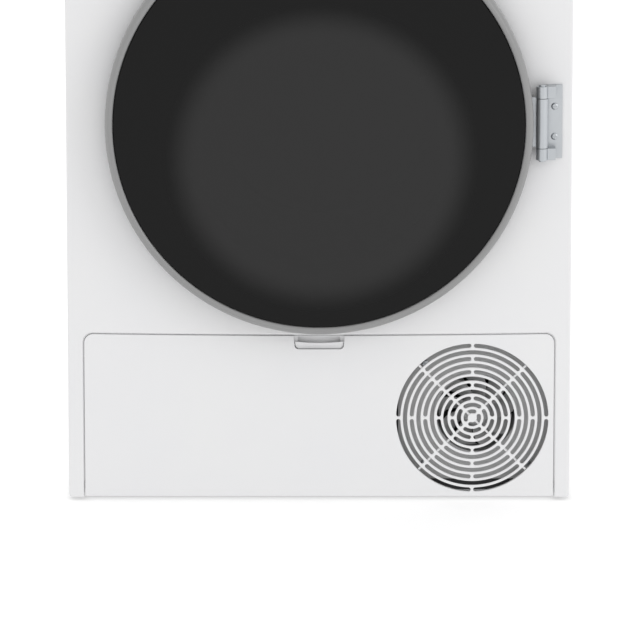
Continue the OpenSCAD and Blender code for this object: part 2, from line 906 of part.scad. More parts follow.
// One of the compressor's feet, drilled for its rubber mount
module hull_foot(x, y, a) {
    translate([x, y, 38])
        rotate([0, 0, a])
            difference() {
                union() {
                    translate([30, -12, 0])
                        cube([46, 24, 4]);
                    translate([76, 0, 0])
                        cylinder(r = 12, h = 4);
                }
                translate([76, 0, -1])
                    cylinder(r = 5, h = 6);
            }
}

// Rubber mounts under the compressor's feet
module compressor_mounts() {
    color("#303030")
        for (a = [30, 150, 270])
            translate([185 + 76 * cos(a), 30 + 76 * sin(a), base_floor + base_floor_t]) {
                cylinder(r = 13, h = 24);
                cylinder(r = 5, h = 32);
            }
}

// Point on the smooth curve through the four points, t from 0 to 1 between b and c
function on_curve(a, b, c, d, t) =
    0.5 * (2 * b + (c - a) * t + (2 * a - 5 * b + 4 * c - d) * t * t + (3 * b - a - 3 * c + d) * t * t * t);

// All points of the smooth curve through a route, with steps between each two points
function smooth_route(p, steps) =
    let (n = len(p) - 1)
        concat([for (i = [0:n - 1], k = [0:steps - 1])
            on_curve(p[max(i - 1, 0)], p[i], p[i + 1], p[min(i + 2, n)], k / steps)], [p[n]]);

// Tube of radius r swept along a route
module bent_pipe(route, r) {
    sides = 8;
    p = smooth_route(route, 5);
    n = len(p) - 1;
    lean = [0.5, -0.5, 0.7];
    points = [for (i = [0:n])
        let (
            run = p[min(i + 1, n)] - p[max(i - 1, 0)],
            t = run / norm(run),
            w = cross(t, lean),
            u = w / norm(w),
            v = cross(t, u)
        )
            for (k = [0:sides - 1])
                p[i] + r * (cos(360 * k / sides) * u + sin(360 * k / sides) * v)];
    rings = [for (i = [0:n - 1], k = [0:sides - 1])
        let (q = (k + 1) % sides)
            each [[i * sides + k, (i + 1) * sides + k, (i + 1) * sides + q],
                [i * sides + k, (i + 1) * sides + q, i * sides + q]]];
    ends = [[for (k = [0:sides - 1]) k], [for (k = [sides - 1:-1:0]) n * sides + k]];
    polyhedron(points, concat(rings, ends), convexity = 6);
}

// Copper pipes between the compressor and the two heat exchangers
module refrigerant_pipes() {
    color("#b87333") {
        bent_pipe([[185, 30, 220], [184, 26, 226], [150, -10, 224], [90, -50, 180], [20, -66, 130],
            [-20, -66, 120], [tunnel_x1, -66, 120]], 4);
        bent_pipe([[207, 82, 120], [232, 104, 122], [246, 90, 150], [244, 40, 200], [200, -60, 205],
            [120, -140, 190], [20, -188, 160], [-20, -190, 150], [tunnel_x1, -190, 150]], 5);
    }
}

// Square frame of the cooling fan with its motor spider
module cooling_fan_frame() {
    y0 = -262;
    y1 = -224;
    color(grey) {
        difference() {
            plate_y(y0, y1)
                translate([cool_fan_x, cool_fan_z])
                    intersection() {
                        square(139, center = true);
                        rotate(45)
                            square(176, center = true);
                    }
            bar_y(cool_fan_x, cool_fan_z, 47, y0 - 1, y1 + 1);
            for (dx = [-1, 1], dz = [-1, 1])
                bar_y(cool_fan_x + 61 * dx, cool_fan_z + 61 * dz, 1.6, y0 - 1, y0 + 14);
        }
        for (a = [0, 120, 240])
            translate([cool_fan_x, 0, cool_fan_z])
                rotate([0, a, 0])
                    box([10, y1 - 5, -4], [48, y1, 4]);
        // Air guide that closes the space behind the grille
        difference() {
            box([grille_x - 88, y0, base_floor + 11], [grille_x + 95, y0 + 3, grille_z + 97]);
            bar_y(cool_fan_x, cool_fan_z, 47, y0 - 1, y0 + 4);
            for (dx = [-1, 1], dz = [-1, 1])
                bar_y(cool_fan_x + 61 * dx, cool_fan_z + 61 * dz, 1.6, y0 - 1, y0 + 14);
        }
        bar_y(cool_fan_x, cool_fan_z, 17, y1 - 5, y1 + 4);
        box([cool_fan_x - 30, y0 + 10, base_floor + base_floor_t],
            [cool_fan_x + 30, y1 - 4, cool_fan_z - 64]);
    }
}

// Seven-bladed rotor of the cooling fan
module cooling_fan_rotor() {
    y0 = -258;
    blades = 9;
    color(grey)
        union() {
            turned_y(cool_fan_x, cool_fan_z)
                polygon([[0, y0], [15, y0], [18, y0 + 3], [18, y0 + 26], [0, y0 + 26]]);
            for (a = [0:360 / blades:359])
                translate([cool_fan_x, y0 + 13, cool_fan_z])
                    rotate([0, a, 0])
                        translate([30.5, 0, 0])
                            rotate([38, 0, 0])
                                cube([29, 24, 2], center = true);
            bar_y(cool_fan_x, cool_fan_z, 3, y0 + 25, -229.4);
        }
}

// Pump that lifts the condensate to the tank
module condensate_pump() {
    x = -10;
    y = -170;
    color("#d8d8d8")
        union() {
            box([x - 24, y - 24, base_floor + base_floor_t], [x + 24, y + 24, 40]);
            translate([x, y, 40])
                cylinder(r = 20, h = 44);
            bar_y(x, 28, 5, y - 44, y - 23);
        }
}

// ---- Drum and its drive ----

// Sheet-steel drum with its mouth, its pierced back wall and its shaft
module drum() {
    lip_r = 238;
    color("silver")
        difference() {
            union() {
                turned_y(0, drum_z)
                    polygon([[lip_r, -drum_front], [drum_r - 4, -drum_front], [drum_r, -drum_front + 4],
                        [drum_r, drum_back - 4], [drum_r - 4, drum_back], [0, drum_back],
                        [0, drum_back - drum_t], [drum_r - 4.5, drum_back - drum_t],
                        [drum_r - drum_t, drum_back - 4.5], [drum_r - drum_t, -drum_front + 4.5],
                        [drum_r - 4.5, -drum_front + drum_t], [lip_r, -drum_front + drum_t]]);
                turned_y(0, drum_z)
                    polygon([[0, drum_back - 4], [56, drum_back - 4], [60, drum_back], [60, drum_back + 4],
                        [12, drum_back + 4], [12, drum_back + 38], [0, drum_back + 38]]);
            }
            for (ring = [0:3])
                let (r = 92 + 38 * ring, count = 18 + 6 * ring)
                    for (i = [0:count - 1])
                        bar_y(r * cos(360 * i / count), drum_z + r * sin(360 * i / count), 5,
                            drum_back - 3, drum_back + 1);
        }
}

// Three paddles inside the drum
module drum_lifters() {
    half = 44;
    base_r = sqrt(pow(drum_r - drum_t, 2) - half * half) - 0.05;
    color("#cfcfcf")
        for (a = [90, 210, 330])
            translate([0, 0, drum_z])
                rotate([0, a, 0])
                    plate_y(-170, 235)
                        difference() {
                            union() {
                                polygon([[base_r, -half], [drum_r - lifter_h + 4, -14],
                                    [drum_r - lifter_h + 4, 14], [base_r, half]]);
                                translate([drum_r - lifter_h + 14, 0])
                                    circle(14, $fn = 64);
                            }
                            polygon([[base_r + 1, -38], [drum_r - lifter_h + 10, -10],
                                [drum_r - lifter_h + 10, 10], [base_r + 1, 38]]);
                        }
}

// Felt rings that seal the drum in front and behind
module drum_felts() {
    color("#b5ab98") {
        turned_y(0, drum_z)
            polygon([[229, -206.5], [237.4, -206.5], [237.4, -199], [229, -199]]);
        turned_y(0, drum_z)
            polygon([[238, drum_back + 0.4], [252, drum_back + 0.4],
                [252, rear_sheet_y], [238, rear_sheet_y]]);
    }
}

// Bearing in the rear wall that carries the drum's shaft
module drum_bearing() {
    color("#707070")
        turned_y(0, drum_z)
            polygon([[12 + fit, drum_back + 6], [24, drum_back + 6], [28, drum_back + 10],
                [28, rear_sheet_y - 1], [38, rear_sheet_y - 1], [38, rear_sheet_y], [28, rear_sheet_y],
                [28, 304], [12 + fit, 304]]);
}

// Poly-V belt round the drum and the motor pulley
module drum_belt() {
    color("#1c1c1c")
        difference() {
            plate_y(belt_y, belt_y + belt_w)
                band_outline([0, drum_z], drum_r + running_gap + belt_t, [motor_x, motor_z],
                    pulley_r + running_gap + belt_t);
            plate_y(belt_y - 1, belt_y + belt_w + 1)
                band_outline([0, drum_z], drum_r + running_gap, [motor_x, motor_z], pulley_r + running_gap);
        }
}

// Drive motor in its cradle on the base
module drive_motor() {
    color("#8a8d90")
        difference() {
            union() {
                turned_y(motor_x, motor_z)
                    polygon([[0, 140], [30, 140], [54, 146], [60, 156], [60, 232], [54, 243], [30, 248],
                        [0, 248]]);
                for (y = [154, 226])
                    difference() {
                        box([motor_x - 54, y, base_floor + base_floor_t], [motor_x + 54, y + 6, 132]);
                        bar_y(motor_x, motor_z, 44, y - 1, y + 7);
                    }
                box([motor_x - 54, 150, base_floor + base_floor_t],
                    [motor_x + 54, 236, base_floor + base_floor_t + 3]);
            }
            bar_y(motor_x, motor_z, 6 + fit, 130, 260);
        }
}

// Motor shaft with the belt pulley in front
module motor_shaft() {
    color("silver")
        union() {
            bar_y(motor_x, motor_z, 6, 108, 318);
            turned_y(motor_x, motor_z)
                polygon([[0, belt_y - 3], [12, belt_y - 3], [12, belt_y - 0.6], [pulley_r, belt_y - 0.5],
                    [pulley_r, belt_y + belt_w + 0.5], [12, belt_y + belt_w + 0.6],
                    [12, belt_y + belt_w + 3],
                    [0, belt_y + belt_w + 3]]);
        }
}

// Radial fan wheel that drives the process air
module process_fan_wheel() {
    blades = 24;
    color("#303030")
        difference() {
            union() {
                bar_y(motor_x, motor_z, 78, 320, 322.5);
                difference() {
                    bar_y(motor_x, motor_z, 78, 292, 295);
                    bar_y(motor_x, motor_z, 50, 291, 296);
                }
                bar_y(motor_x, motor_z, 14, 300, 321);
                for (i = [0:blades - 1])
                    translate([motor_x, 0, motor_z])
                        rotate([0, 360 / blades * i, 0])
                            translate([64, 0, 0])
                                rotate([0, 28, 0])
                                    box([-12, 293, -0.8], [12, 321, 0.8]);
            }
            bar_y(motor_x, motor_z, 6, 280, 318);
        }
}

// Roller that carries the drum's front rim; s is -1 on the left
module support_roller(s) {
    reach = drum_r + roller_r + running_gap;
    x = s * reach * sin(roller_angle);
    z = drum_z - reach * cos(roller_angle);
    color(dark)
        difference() {
            turned_y(x, z)
                polygon([[0, -199], [12, -199], [12, -197], [roller_r - 1, -197], [roller_r, -196],
                    [roller_r, -186],
                    [roller_r - 1, -185], [12, -185], [12, -183], [0, -183]]);
            bar_y(x, z, 5 + fit, -210, -180);
        }
}

module left_support_roller() {
    support_roller(-1);
}

module right_support_roller() {
    support_roller(1);
}

// Fold-flat lint filter in the chute below the opening
module lint_filter() {
    color("#5a5a5a")
        difference() {
            box([-86, -270, 222], [86, -243, 320]);
            box([-82, -266, 226], [82, -247, 321]);
            bar_y(0, door_z, throat_r - 0.5, -290, -200);
            for (i = [0:9], y = [-272, -249])
                box([-78 + 16 * i, y, 230], [-66 + 16 * i, y + 8, 282]);
        }
}

// Gland where the supply lead enters the rear wall
module mains_gland() {
    color(dark)
        difference() {
            turned_y(gland_x, gland_z)
                polygon([[0, rear_sheet_y - 6], [11, rear_sheet_y - 6], [11, rear_sheet_y + sheet_t],
                    [16, rear_sheet_y + sheet_t], [16, rear_sheet_y + 8], [11, rear_sheet_y + 10],
                    [9, rear_sheet_y + 26], [0, rear_sheet_y + 26]]);
            bar_y(gland_x, gland_z, 4, rear_sheet_y - 10, rear_sheet_y + 30);
        }
}

// ---- Feet ----

// Levelling foot: pad, hexagon and stem
module foot(sx, sy) {
    translate([sx * foot_x, sy * foot_y, 0]) {
        color(dark)
            cylinder(r1 = 20, r2 = 19, h = 6);
        color("silver") {
            translate([0, 0, 5.5])
                cylinder(r = 9, h = 4, $fn = 6);
            cylinder(r = stem_r, h = stem_top);
        }
    }
}

module front_left_foot() {
    foot(-1, -1);
}

module front_right_foot() {
    foot(1, -1);
}

module rear_left_foot() {
    foot(-1, 1);
}

module rear_right_foot() {
    foot(1, 1);
}

module left_side_panel() {
    side_panel(-1);
}

module right_side_panel() {
    side_panel(1);
}

front_panel();
left_side_panel();
right_side_panel();
rear_panel();
rear_duct_cover();
worktop();
base_tray();
front_bulkhead();
case_screws();
fascia();
display_window();
control_board();
program_knob();
power_button();
start_button();
option_button_left();
option_button_right();
tank_front();
water_tank();
tank_bay();
door_ring();
door_glass();
door_frame();
door_bowl();
door_seal();
hinge_bracket();
hinge_strap();
hinge_pin();
door_hook();
door_catch();
kick_flap();
flap_latch();
exchanger_tunnel();
exchanger_cover();
upper_cover_lever();
lower_cover_lever();
evaporator();
condenser();
compressor();
compressor_mounts();
refrigerant_pipes();
cooling_fan_frame();
cooling_fan_rotor();
condensate_pump();
drum();
drum_lifters();
drum_felts();
drum_bearing();
drum_belt();
drive_motor();
motor_shaft();
process_fan_wheel();
left_support_roller();
right_support_roller();
lint_filter();
mains_gland();
front_left_foot();
front_right_foot();
rear_left_foot();
rear_right_foot();
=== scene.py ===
import json
import math

import bmesh
import bpy
from mathutils import Matrix, Vector


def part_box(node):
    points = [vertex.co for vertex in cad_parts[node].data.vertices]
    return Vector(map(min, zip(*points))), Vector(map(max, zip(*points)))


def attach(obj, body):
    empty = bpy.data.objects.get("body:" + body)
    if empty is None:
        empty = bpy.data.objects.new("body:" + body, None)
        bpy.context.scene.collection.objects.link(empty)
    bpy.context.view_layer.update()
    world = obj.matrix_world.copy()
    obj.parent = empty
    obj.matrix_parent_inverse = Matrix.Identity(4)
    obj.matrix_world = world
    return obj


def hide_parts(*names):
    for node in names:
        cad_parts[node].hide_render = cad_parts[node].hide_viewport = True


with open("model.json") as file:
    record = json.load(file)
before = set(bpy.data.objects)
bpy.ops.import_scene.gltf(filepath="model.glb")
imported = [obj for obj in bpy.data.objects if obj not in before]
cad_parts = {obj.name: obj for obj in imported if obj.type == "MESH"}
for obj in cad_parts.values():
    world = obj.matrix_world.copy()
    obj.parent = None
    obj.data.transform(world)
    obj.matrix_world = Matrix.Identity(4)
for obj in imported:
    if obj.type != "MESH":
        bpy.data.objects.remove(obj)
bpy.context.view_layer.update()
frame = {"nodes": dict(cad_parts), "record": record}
nodes = frame["nodes"]

# ---- Camera, floor and studio light ----
# A long lens from a raised stand, aimed at the lower front of the dryer; the upper part runs out of
# the picture. A white surround lights the enamel evenly; one soft box adds a little from the right.
MM = 0.001
front_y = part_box("front_panel")[0].y
aim = Vector((1.0 * MM, front_y, 221 * MM))
camera_rise = math.radians(13)
camera_away = 7.7

camera = bpy.data.objects.new("camera", bpy.data.cameras.new("camera"))
bpy.context.scene.collection.objects.link(camera)
camera.data.lens = 365.6
camera.data.clip_end = 100
back = Vector((0, -math.cos(camera_rise), math.sin(camera_rise)))
camera.location = aim + camera_away * back
camera.rotation_euler = (-back).to_track_quat("-Z", "Y").to_euler()
bpy.context.scene.camera = camera


def soft_box(name, place, target, size, power):
    """An area light of the given size that faces the target."""
    lamp = bpy.data.objects.new(name, bpy.data.lights.new(name, "AREA"))
    lamp.data.size = size
    lamp.data.energy = power
    lamp.location = place
    lamp.rotation_euler = (Vector(target) - Vector(place)).to_track_quat("-Z", "Y").to_euler()
    bpy.context.scene.collection.objects.link(lamp)


soft_box("key_light", (3.2, -2.4, 1.9), (0, 0, 0.5), 2.0, 24)
soft_box("rear_light", (-1.5, 3.6, 2.8), (0, 0, 0.5), 2.6, 20)
bpy.context.scene.view_settings.view_transform = "Standard"

world = bpy.data.worlds.new("studio")
bpy.context.scene.world = world
world.use_nodes = True
world.node_tree.nodes["Background"].inputs["Color"].default_value = (1.0, 1.0, 1.0, 1.0)
world.node_tree.nodes["Background"].inputs["Strength"].default_value = 1.0


def linear(code):
    """Linear colour of an sRGB hex code."""
    parts = [int(code[i:i + 2], 16) / 255 for i in (1, 3, 5)]
    return (*[c / 12.92 if c <= 0.04045 else ((c + 0.055) / 1.055) ** 2.4 for c in parts], 1.0)


def add_node(tree, kind, sockets=None, **settings):
    """Adds a node with its settings; a socket's value is a number, a colour or a socket to link."""
    node = tree.nodes.new(kind)
    for key, value in settings.items():
        setattr(node, key, value)
    for key, value in (sockets or {}).items():
        if isinstance(value, bpy.types.NodeSocket):
            tree.links.new(value, node.inputs[key])
        else:
            node.inputs[key].default_value = value
    return node


def new_material(name, **sockets):
    """A material with its shader's constant sockets set; returns it with its tree and shader."""
    material = bpy.data.materials.new(name)
    material.use_nodes = True
    tree = material.node_tree
    shader = tree.nodes["Principled BSDF"]
    for key, value in sockets.items():
        shader.inputs[key.replace("_", " ")].default_value = value
    return material, tree, shader


def grain(tree, size_mm, stretch=(1, 1, 1), detail=3.0):
    """Noise whose grain is size_mm across, longer along an axis whose stretch is above 1."""
    place = add_node(tree, "ShaderNodeTexCoord")
    scale = tuple(1 / (size_mm * MM * s) for s in stretch)
    spread = add_node(tree, "ShaderNodeMapping", {"Vector": place.outputs["Object"], "Scale": scale})
    sockets = {"Vector": spread.outputs["Vector"], "Scale": 1.0, "Detail": detail}
    return add_node(tree, "ShaderNodeTexNoise", sockets)


def surface(name, light, dark, grain_mm, relief_mm, smooth, rough, stretch=(1, 1, 1), **sockets):
    """A finish with broad colour variation between two colours and a fine grain in gloss and relief."""
    material, tree, shader = new_material(name, **sockets)
    broad = grain(tree, 90, detail=2.0)
    fine = grain(tree, grain_mm, stretch)
    tone = add_node(tree, "ShaderNodeMix", {"Factor": broad.outputs["Fac"]}, data_type="RGBA")
    # A Mix node has a set of sockets for each kind of data: 6, 7 and output 2 are the colours
    tone.inputs[6].default_value = linear(light)
    tone.inputs[7].default_value = linear(dark)
    tree.links.new(tone.outputs[2], shader.inputs["Base Color"])
    gloss = add_node(tree, "ShaderNodeMapRange",
                     {"Value": fine.outputs["Fac"], "To Min": smooth, "To Max": rough})
    tree.links.new(gloss.outputs["Result"], shader.inputs["Roughness"])
    relief = add_node(tree, "ShaderNodeBump",
                      {"Height": fine.outputs["Fac"], "Distance": relief_mm * MM, "Strength": 0.6})
    tree.links.new(relief.outputs["Normal"], shader.inputs["Normal"])
    return material


# Pale seamless floor: white acrylic lit from below, with a faint mottle, so that shadows stay pale
floor_mesh = bpy.data.meshes.new("floor")
reach = 14
floor_corners = [(-reach, -reach, 0), (reach, -reach, 0), (reach, reach, 0), (-reach, reach, 0)]
floor_mesh.from_pydata(floor_corners, [], [(0, 1, 2, 3)])
floor = bpy.data.objects.new("floor", floor_mesh)
bpy.context.scene.collection.objects.link(floor)
floor_mesh.materials.append(surface("backlit_floor_acrylic", "#c2c2c2", "#bebebe", 6, 0.02, 0.7, 0.8,
                                    Emission_Color=(1.0, 1.0, 1.0, 1.0), Emission_Strength=0.52))

# ---- Front sheet ----
# Deep-drawn sheet steel in satin white powder coat, with orange peel about 1 mm from crest to crest.
# Every edge is rolled in: round the loading opening, round the kick flap's opening and down both
# sides, where the returns meet the side sheets. A flange behind the flap's gap keeps the gap shallow.
enamel = surface("powder_coated_steel", "#e1e1e1", "#dedee0", 1.1, 0.012, 0.33, 0.42,
                 Coat_Weight=0.15, Coat_Roughness=0.25)


def arc(cx, cz, r, start, end, steps):
    """Points of an arc, angles in degrees from +X towards +Z, in millimetres."""
    turn = [math.radians(start + (end - start) * i / steps) for i in range(steps + 1)]
    return [(cx + r * math.cos(a), cz + r * math.sin(a)) for a in turn]


def circle(cx, cz, r):
    """A closed circle of 120 points."""
    return arc(cx, cz, r, 0, 357, 119)


def area_of(loop):
    """Twice the signed area of a closed outline, positive when it runs anticlockwise."""
    return sum(a[0] * b[1] - b[0] * a[1] for a, b in zip(loop, loop[1:] + loop[:1]))


def plate(name, outline, holes, y_front, depth, edge, steps=3):
    """A plate in X and Z with rounded edges, from its outline and its holes, all in millimetres."""
    curve = bpy.data.curves.new(name, "CURVE")
    curve.dimensions = "2D"
    curve.fill_mode = "BOTH"
    curve.bevel_depth = edge * MM
    curve.bevel_resolution = steps
    curve.extrude = (depth / 2 - edge) * MM
    curve.offset = -edge * MM
    for index, loop in enumerate([outline, *holes]):
        if (area_of(loop) > 0) != (index == 0):
            loop = loop[::-1]
        spline = curve.splines.new("POLY")
        spline.points.add(len(loop) - 1)
        for point, (x, z) in zip(spline.points, loop):
            point.co = (x * MM, z * MM, 0, 1)
        spline.use_cyclic_u = True
    flat = bpy.data.objects.new(name, curve)
    mesh = bpy.data.meshes.new_from_object(flat)
    bpy.data.objects.remove(flat)
    upright = Matrix.Rotation(math.pi / 2, 4, "X")
    mesh.transform(Matrix.Translation((0, (y_front + depth / 2) * MM, 0)) @ upright)
    return mesh


def mesh_from(work, name):
    """The mesh of a finished work mesh, which is freed."""
    mesh = bpy.data.meshes.new(name)
    work.to_mesh(mesh)
    work.free()
    return mesh


def block(low, high, edge=0.0):
    """A box between two corners in millimetres, with its edges rounded off."""
    work = bmesh.new()
    bmesh.ops.create_cube(work, size=1)
    low, high = Vector(low) * MM, Vector(high) * MM
    for v in work.verts:
        v.co = Vector(((low[i] + high[i]) / 2 + v.co[i] * (high[i] - low[i])) for i in range(3))
    if edge:
        bmesh.ops.bevel(work, geom=work.edges[:], offset=edge * MM, segments=2, profile=0.5, affect="EDGES")
    return mesh_from(work, "block")


def turned(profile, x, z, steps=192):
    """A closed profile of radius and y turned round the Y axis through x and z, in millimetres."""
    work = bmesh.new()
    rings = []
    for i in range(steps):
        a = 2 * math.pi * i / steps
        places = [(x + r * math.cos(a), y, z + r * math.sin(a)) for r, y in profile]
        rings.append([work.verts.new((px * MM, py * MM, pz * MM)) for px, py, pz in places])
    for ring, after in zip(rings, rings[1:] + rings[:1]):
        for k in range(len(profile)):
            n = (k + 1) % len(profile)
            work.faces.new((ring[k], ring[n], after[n], after[k]))
    bmesh.ops.remove_doubles(work, verts=work.verts[:], dist=1e-6)
    bmesh.ops.recalc_face_normals(work, faces=work.faces[:])
    return mesh_from(work, "turned")


def piece_of(name, meshes, body, slot, material, *stands_for):
    """Joins meshes into one finished piece that rides on a body and stands for CAD nodes."""
    work = bmesh.new()
    for mesh in meshes:
        work.from_mesh(mesh)
        bpy.data.meshes.remove(mesh)
    mesh = mesh_from(work, name)
    mesh.shade_smooth()
    mesh.set_sharp_from_angle(angle=math.radians(35))
    mesh.materials.clear()
    mesh.materials.append(material)
    for face in mesh.polygons:
        face.material_index = 0
    piece = bpy.data.objects.new(name, mesh)
    bpy.context.scene.collection.objects.link(piece)
    even = piece.modifiers.new("even_shading", "WEIGHTED_NORMAL")
    even.keep_sharp = True
    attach(piece, body)
    if stands_for:
        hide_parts(*stands_for)
    return piece


def in_mm(node):
    """Lowest and highest corner of a CAD node in millimetres."""
    low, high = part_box(node)
    return low / MM, high / MM


panel_low, panel_high = in_mm("front_panel")
flap_low, flap_high = in_mm("kick_flap")
door_low, door_high = in_mm("door_ring")
half_w = panel_high.x
panel_front = panel_low.y
door_z = (door_low.z + door_high.z) / 2
opening_half = 280
seam_top = 203
flap_gap = 1.2
seam_bow = 2.1
bow_radius = opening_half ** 2 / (2 * seam_bow)


def flap_outline(grow):
    """The kick flap's outline, up one side and over its shallow bowed top, grown outwards by grow."""
    half = opening_half - flap_gap + grow
    top = seam_top + seam_bow - flap_gap + grow
    corner = 11
    reach_x = half - corner
    left = arc(-reach_x, top - corner, corner, 180, 96, 8)
    right = arc(reach_x, top - corner, corner, 84, 0, 8)
    bow = []
    for i in range(-12, 13):
        x = reach_x * i / 12
        bow.append((x, top - seam_bow + x ** 2 / (2 * bow_radius)))
    return left + bow[1:-1] + right


corner_r = 4
sheet_outline = (
    arc(-half_w + corner_r, panel_low.z + corner_r, corner_r, 180, 270, 6)
    + [(-opening_half, panel_low.z)]
    + flap_outline(flap_gap)
    + [(opening_half, panel_low.z)]
    + arc(half_w - corner_r, panel_low.z + corner_r, corner_r, 270, 360, 6)
    + [(half_w, panel_high.z), (-half_w, panel_high.z)]
)
door_hole = circle(0, door_z, 183)
sheet_back = panel_high.y
return_foot = panel_low.z + corner_r
return_wall = 1.5
flange_gap, flange_lap = 0.35, 0.5
flange_in, flange_out = opening_half - flap_gap + flange_gap, opening_half + flange_lap
flap_flange = (
    [(-flange_out, flap_low.z)] + flap_outline(flap_gap + flange_lap) + [(flange_out, flap_low.z)]
    + [(flange_in, flap_low.z)] + flap_outline(flange_gap)[::-1] + [(-flange_in, flap_low.z)]
)
piece_of(
    "front_sheet",
    [
        plate("front_sheet", sheet_outline, [door_hole], panel_front, 4.0, 1.9),
        plate("flap_flange", flap_flange, [], panel_front + 2.4, 1.4, 0.1, 1),
        block((-half_w, panel_front + 2, return_foot), (-half_w + return_wall, sheet_back, panel_high.z)),
        block((half_w - return_wall, panel_front + 2, return_foot), (half_w, sheet_back, panel_high.z)),
    ],
    "cabinet", "white_enamel", enamel, "front_panel",
)

# ---- Side sheets ----
# Painted sheet steel, folded in at the rear and the top. A broad field is pressed in by a millimetre
# or so, which stiffens it, and the sheet meets the front sheet's return in a fine seam.
side_low, side_high = in_mm("right_side_panel")
side_thick = 1.2


def around(rows):
    """The vertices round the edge of a grid of rows, in order."""
    return rows[0] + [r[-1] for r in rows[1:]] + rows[-1][-2::-1] + [r[0] for r in rows[-2:0:-1]]


def shell_between(work, name, front, rear):
    """Closes two grids of vertices into one shell: the faces of both and the rim between them."""
    for rows, flip in ((front, False), (rear, True)):
        for a, b in zip(rows, rows[1:]):
            for k in range(len(a) - 1):
                quad = (a[k], a[k + 1], b[k + 1], b[k])
                work.faces.new(quad[::-1] if flip else quad)
    a, b = around(front), around(rear)
    for i in range(len(a)):
        n = (i + 1) % len(a)
        work.faces.new((a[i], b[i], b[n], a[n]))
    bmesh.ops.recalc_face_normals(work, faces=work.faces[:])
    return mesh_from(work, name)


def pressed_sheet(x, y_lines, z_lines, depth, thick):
    """A sheet facing +X with a shallow pressed field inside its second and last but one lines."""
    work = bmesh.new()
    skins = []
    for shift in (0, thick):
        skin = []
        for j, z in enumerate(z_lines):
            row = []
            for i, y in enumerate(y_lines):
                sunk = depth if 2 <= i <= len(y_lines) - 3 and 2 <= j <= len(z_lines) - 3 else 0
                row.append(work.verts.new(((x - sunk - shift) * MM, y * MM, z * MM)))
            skin.append(row)
        skins.append(skin)
    return shell_between(work, "pressed_sheet", *skins)


def field_lines(low, high, from_low, from_high, slope=8):
    """The sheet's two edges and, between them, where the pressed field's slopes begin and end."""
    return [low, low + from_low, low + from_low + slope, high - from_high - slope, high - from_high, high]


def side_sheet(sign):
    """Meshes of one side: the pressed sheet and its folded rear and top flanges."""
    y_lines = field_lines(side_low.y, side_high.y, 60, 60)
    z_lines = field_lines(side_low.z, side_high.z, 130, 70)
    flange_end = (side_high.x - 0.3, side_high.y, side_high.z)
    parts = [
        pressed_sheet(side_high.x, y_lines, z_lines, 1.4, side_thick),
        block((side_low.x, side_high.y - side_thick, side_low.z), flange_end, 0.4),
        block((side_low.x, side_low.y, side_high.z - side_thick), flange_end, 0.4),
    ]
    if sign < 0:
        for mesh in parts:
            mesh.transform(Matrix.Scale(-1, 4, (1, 0, 0)))
            mesh.flip_normals()
    return parts


piece_of("left_side_sheet", side_sheet(-1), "cabinet", "white_enamel", enamel, "left_side_panel")
piece_of("right_side_sheet", side_sheet(1), "cabinet", "white_enamel", enamel, "right_side_panel")

# ---- Kick flap ----
# One injection moulding in white ABS with a fine spark-eroded grain, held at its foot by two moulded
# pins. Its face carries eleven rings of round-ended slots; the bridges between them alternate, so
# the rings lean on each other.
abs_white = surface("moulded_white_abs", "#e1e1e1", "#dedee0", 0.7, 0.010, 0.40, 0.50)
grille_x, grille_z = 182, 101.5
ring_pitch, slot_wide, bridge_wide = 8.0, 4.9, 3.0
ring_count = 11


def slot_outline(r, start, end):
    """A curved slot with round ends, of mean radius r, between two angles in degrees."""
    half = slot_wide / 2
    steps = max(4, int(r * math.radians(end - start) / 3))
    outer = arc(grille_x, grille_z, r + half, start, end, steps)
    inner = arc(grille_x, grille_z, r - half, end, start, steps)

    def cap(angle, side):
        x = grille_x + r * math.cos(math.radians(angle))
        z = grille_z + r * math.sin(math.radians(angle))
        return arc(x, z, half, angle + side, angle + side + 180, 6)[1:-1]

    return outer + cap(end, 0) + inner + cap(start, 180)


def ring_slots(k):
    """Outlines of ring k: four slots, or two in the innermost ring."""
    r = k * ring_pitch
    count = 2 if k == 1 else 4
    turn = 0 if k % 2 else 45
    if k == 1:
        turn = 45
    gap = math.degrees((bridge_wide + slot_wide) / 2 / r)
    step = 360 / count
    return [slot_outline(r, turn + i * step + gap, turn + (i + 1) * step - gap) for i in range(count)]


flap_bottom = flap_low.z
flap_sides = [(-opening_half + flap_gap + 1, flap_bottom), (-opening_half + flap_gap, flap_bottom + 1)]
flap_top_edge = flap_outline(0)
flap_rim_line = flap_sides + flap_top_edge + [(-x, z) for x, z in flap_sides[::-1]]
pocket_top = seam_top - flap_gap
pocket = (
    [(-30, pocket_top), (-29.2, 190)] + arc(-24.6, 190.2, 4.6, 180, 270, 6)[1:]
    + arc(24.6, 190.2, 4.6, 270, 360, 6)[:-1] + [(29.2, 190), (30, pocket_top)]
)
# The finger pocket is open at the top, so the face's outline runs down and round it
flap_face = (
    flap_sides + [p for p in flap_top_edge if p[0] < -31] + pocket + [p for p in flap_top_edge if p[0] > 31]
    + [(-x, z) for x, z in flap_sides[::-1]]
)
slots = [loop for k in range(1, ring_count + 1) for loop in ring_slots(k)]
rim_back = flap_high.y


def hollow_rim(name, outline, inside, y0, y1):
    """A wall that follows an outline, from y0 to y1."""
    return plate(name, outline, [inside], y0, y1 - y0, 0.3, 1)


inner_half = opening_half - flap_gap - 1
inner_rim = [(-inner_half, flap_bottom + 4)] + flap_outline(-1) + [(inner_half, flap_bottom + 4)]
rib_out, rib_in = [circle(grille_x, grille_z, r) for r in (93, 91)]
grille_rib = hollow_rim("grille_rib", rib_out, rib_in, panel_front + 2, panel_front + 7)


def set_at(mesh, x, y, z, angle):
    """Turns a mesh about the Y axis by an angle in degrees, then moves it to a place in millimetres."""
    turn = Matrix.Rotation(math.radians(angle), 4, "Y")
    mesh.transform(Matrix.Translation((x * MM, y * MM, z * MM)) @ turn)
    return mesh


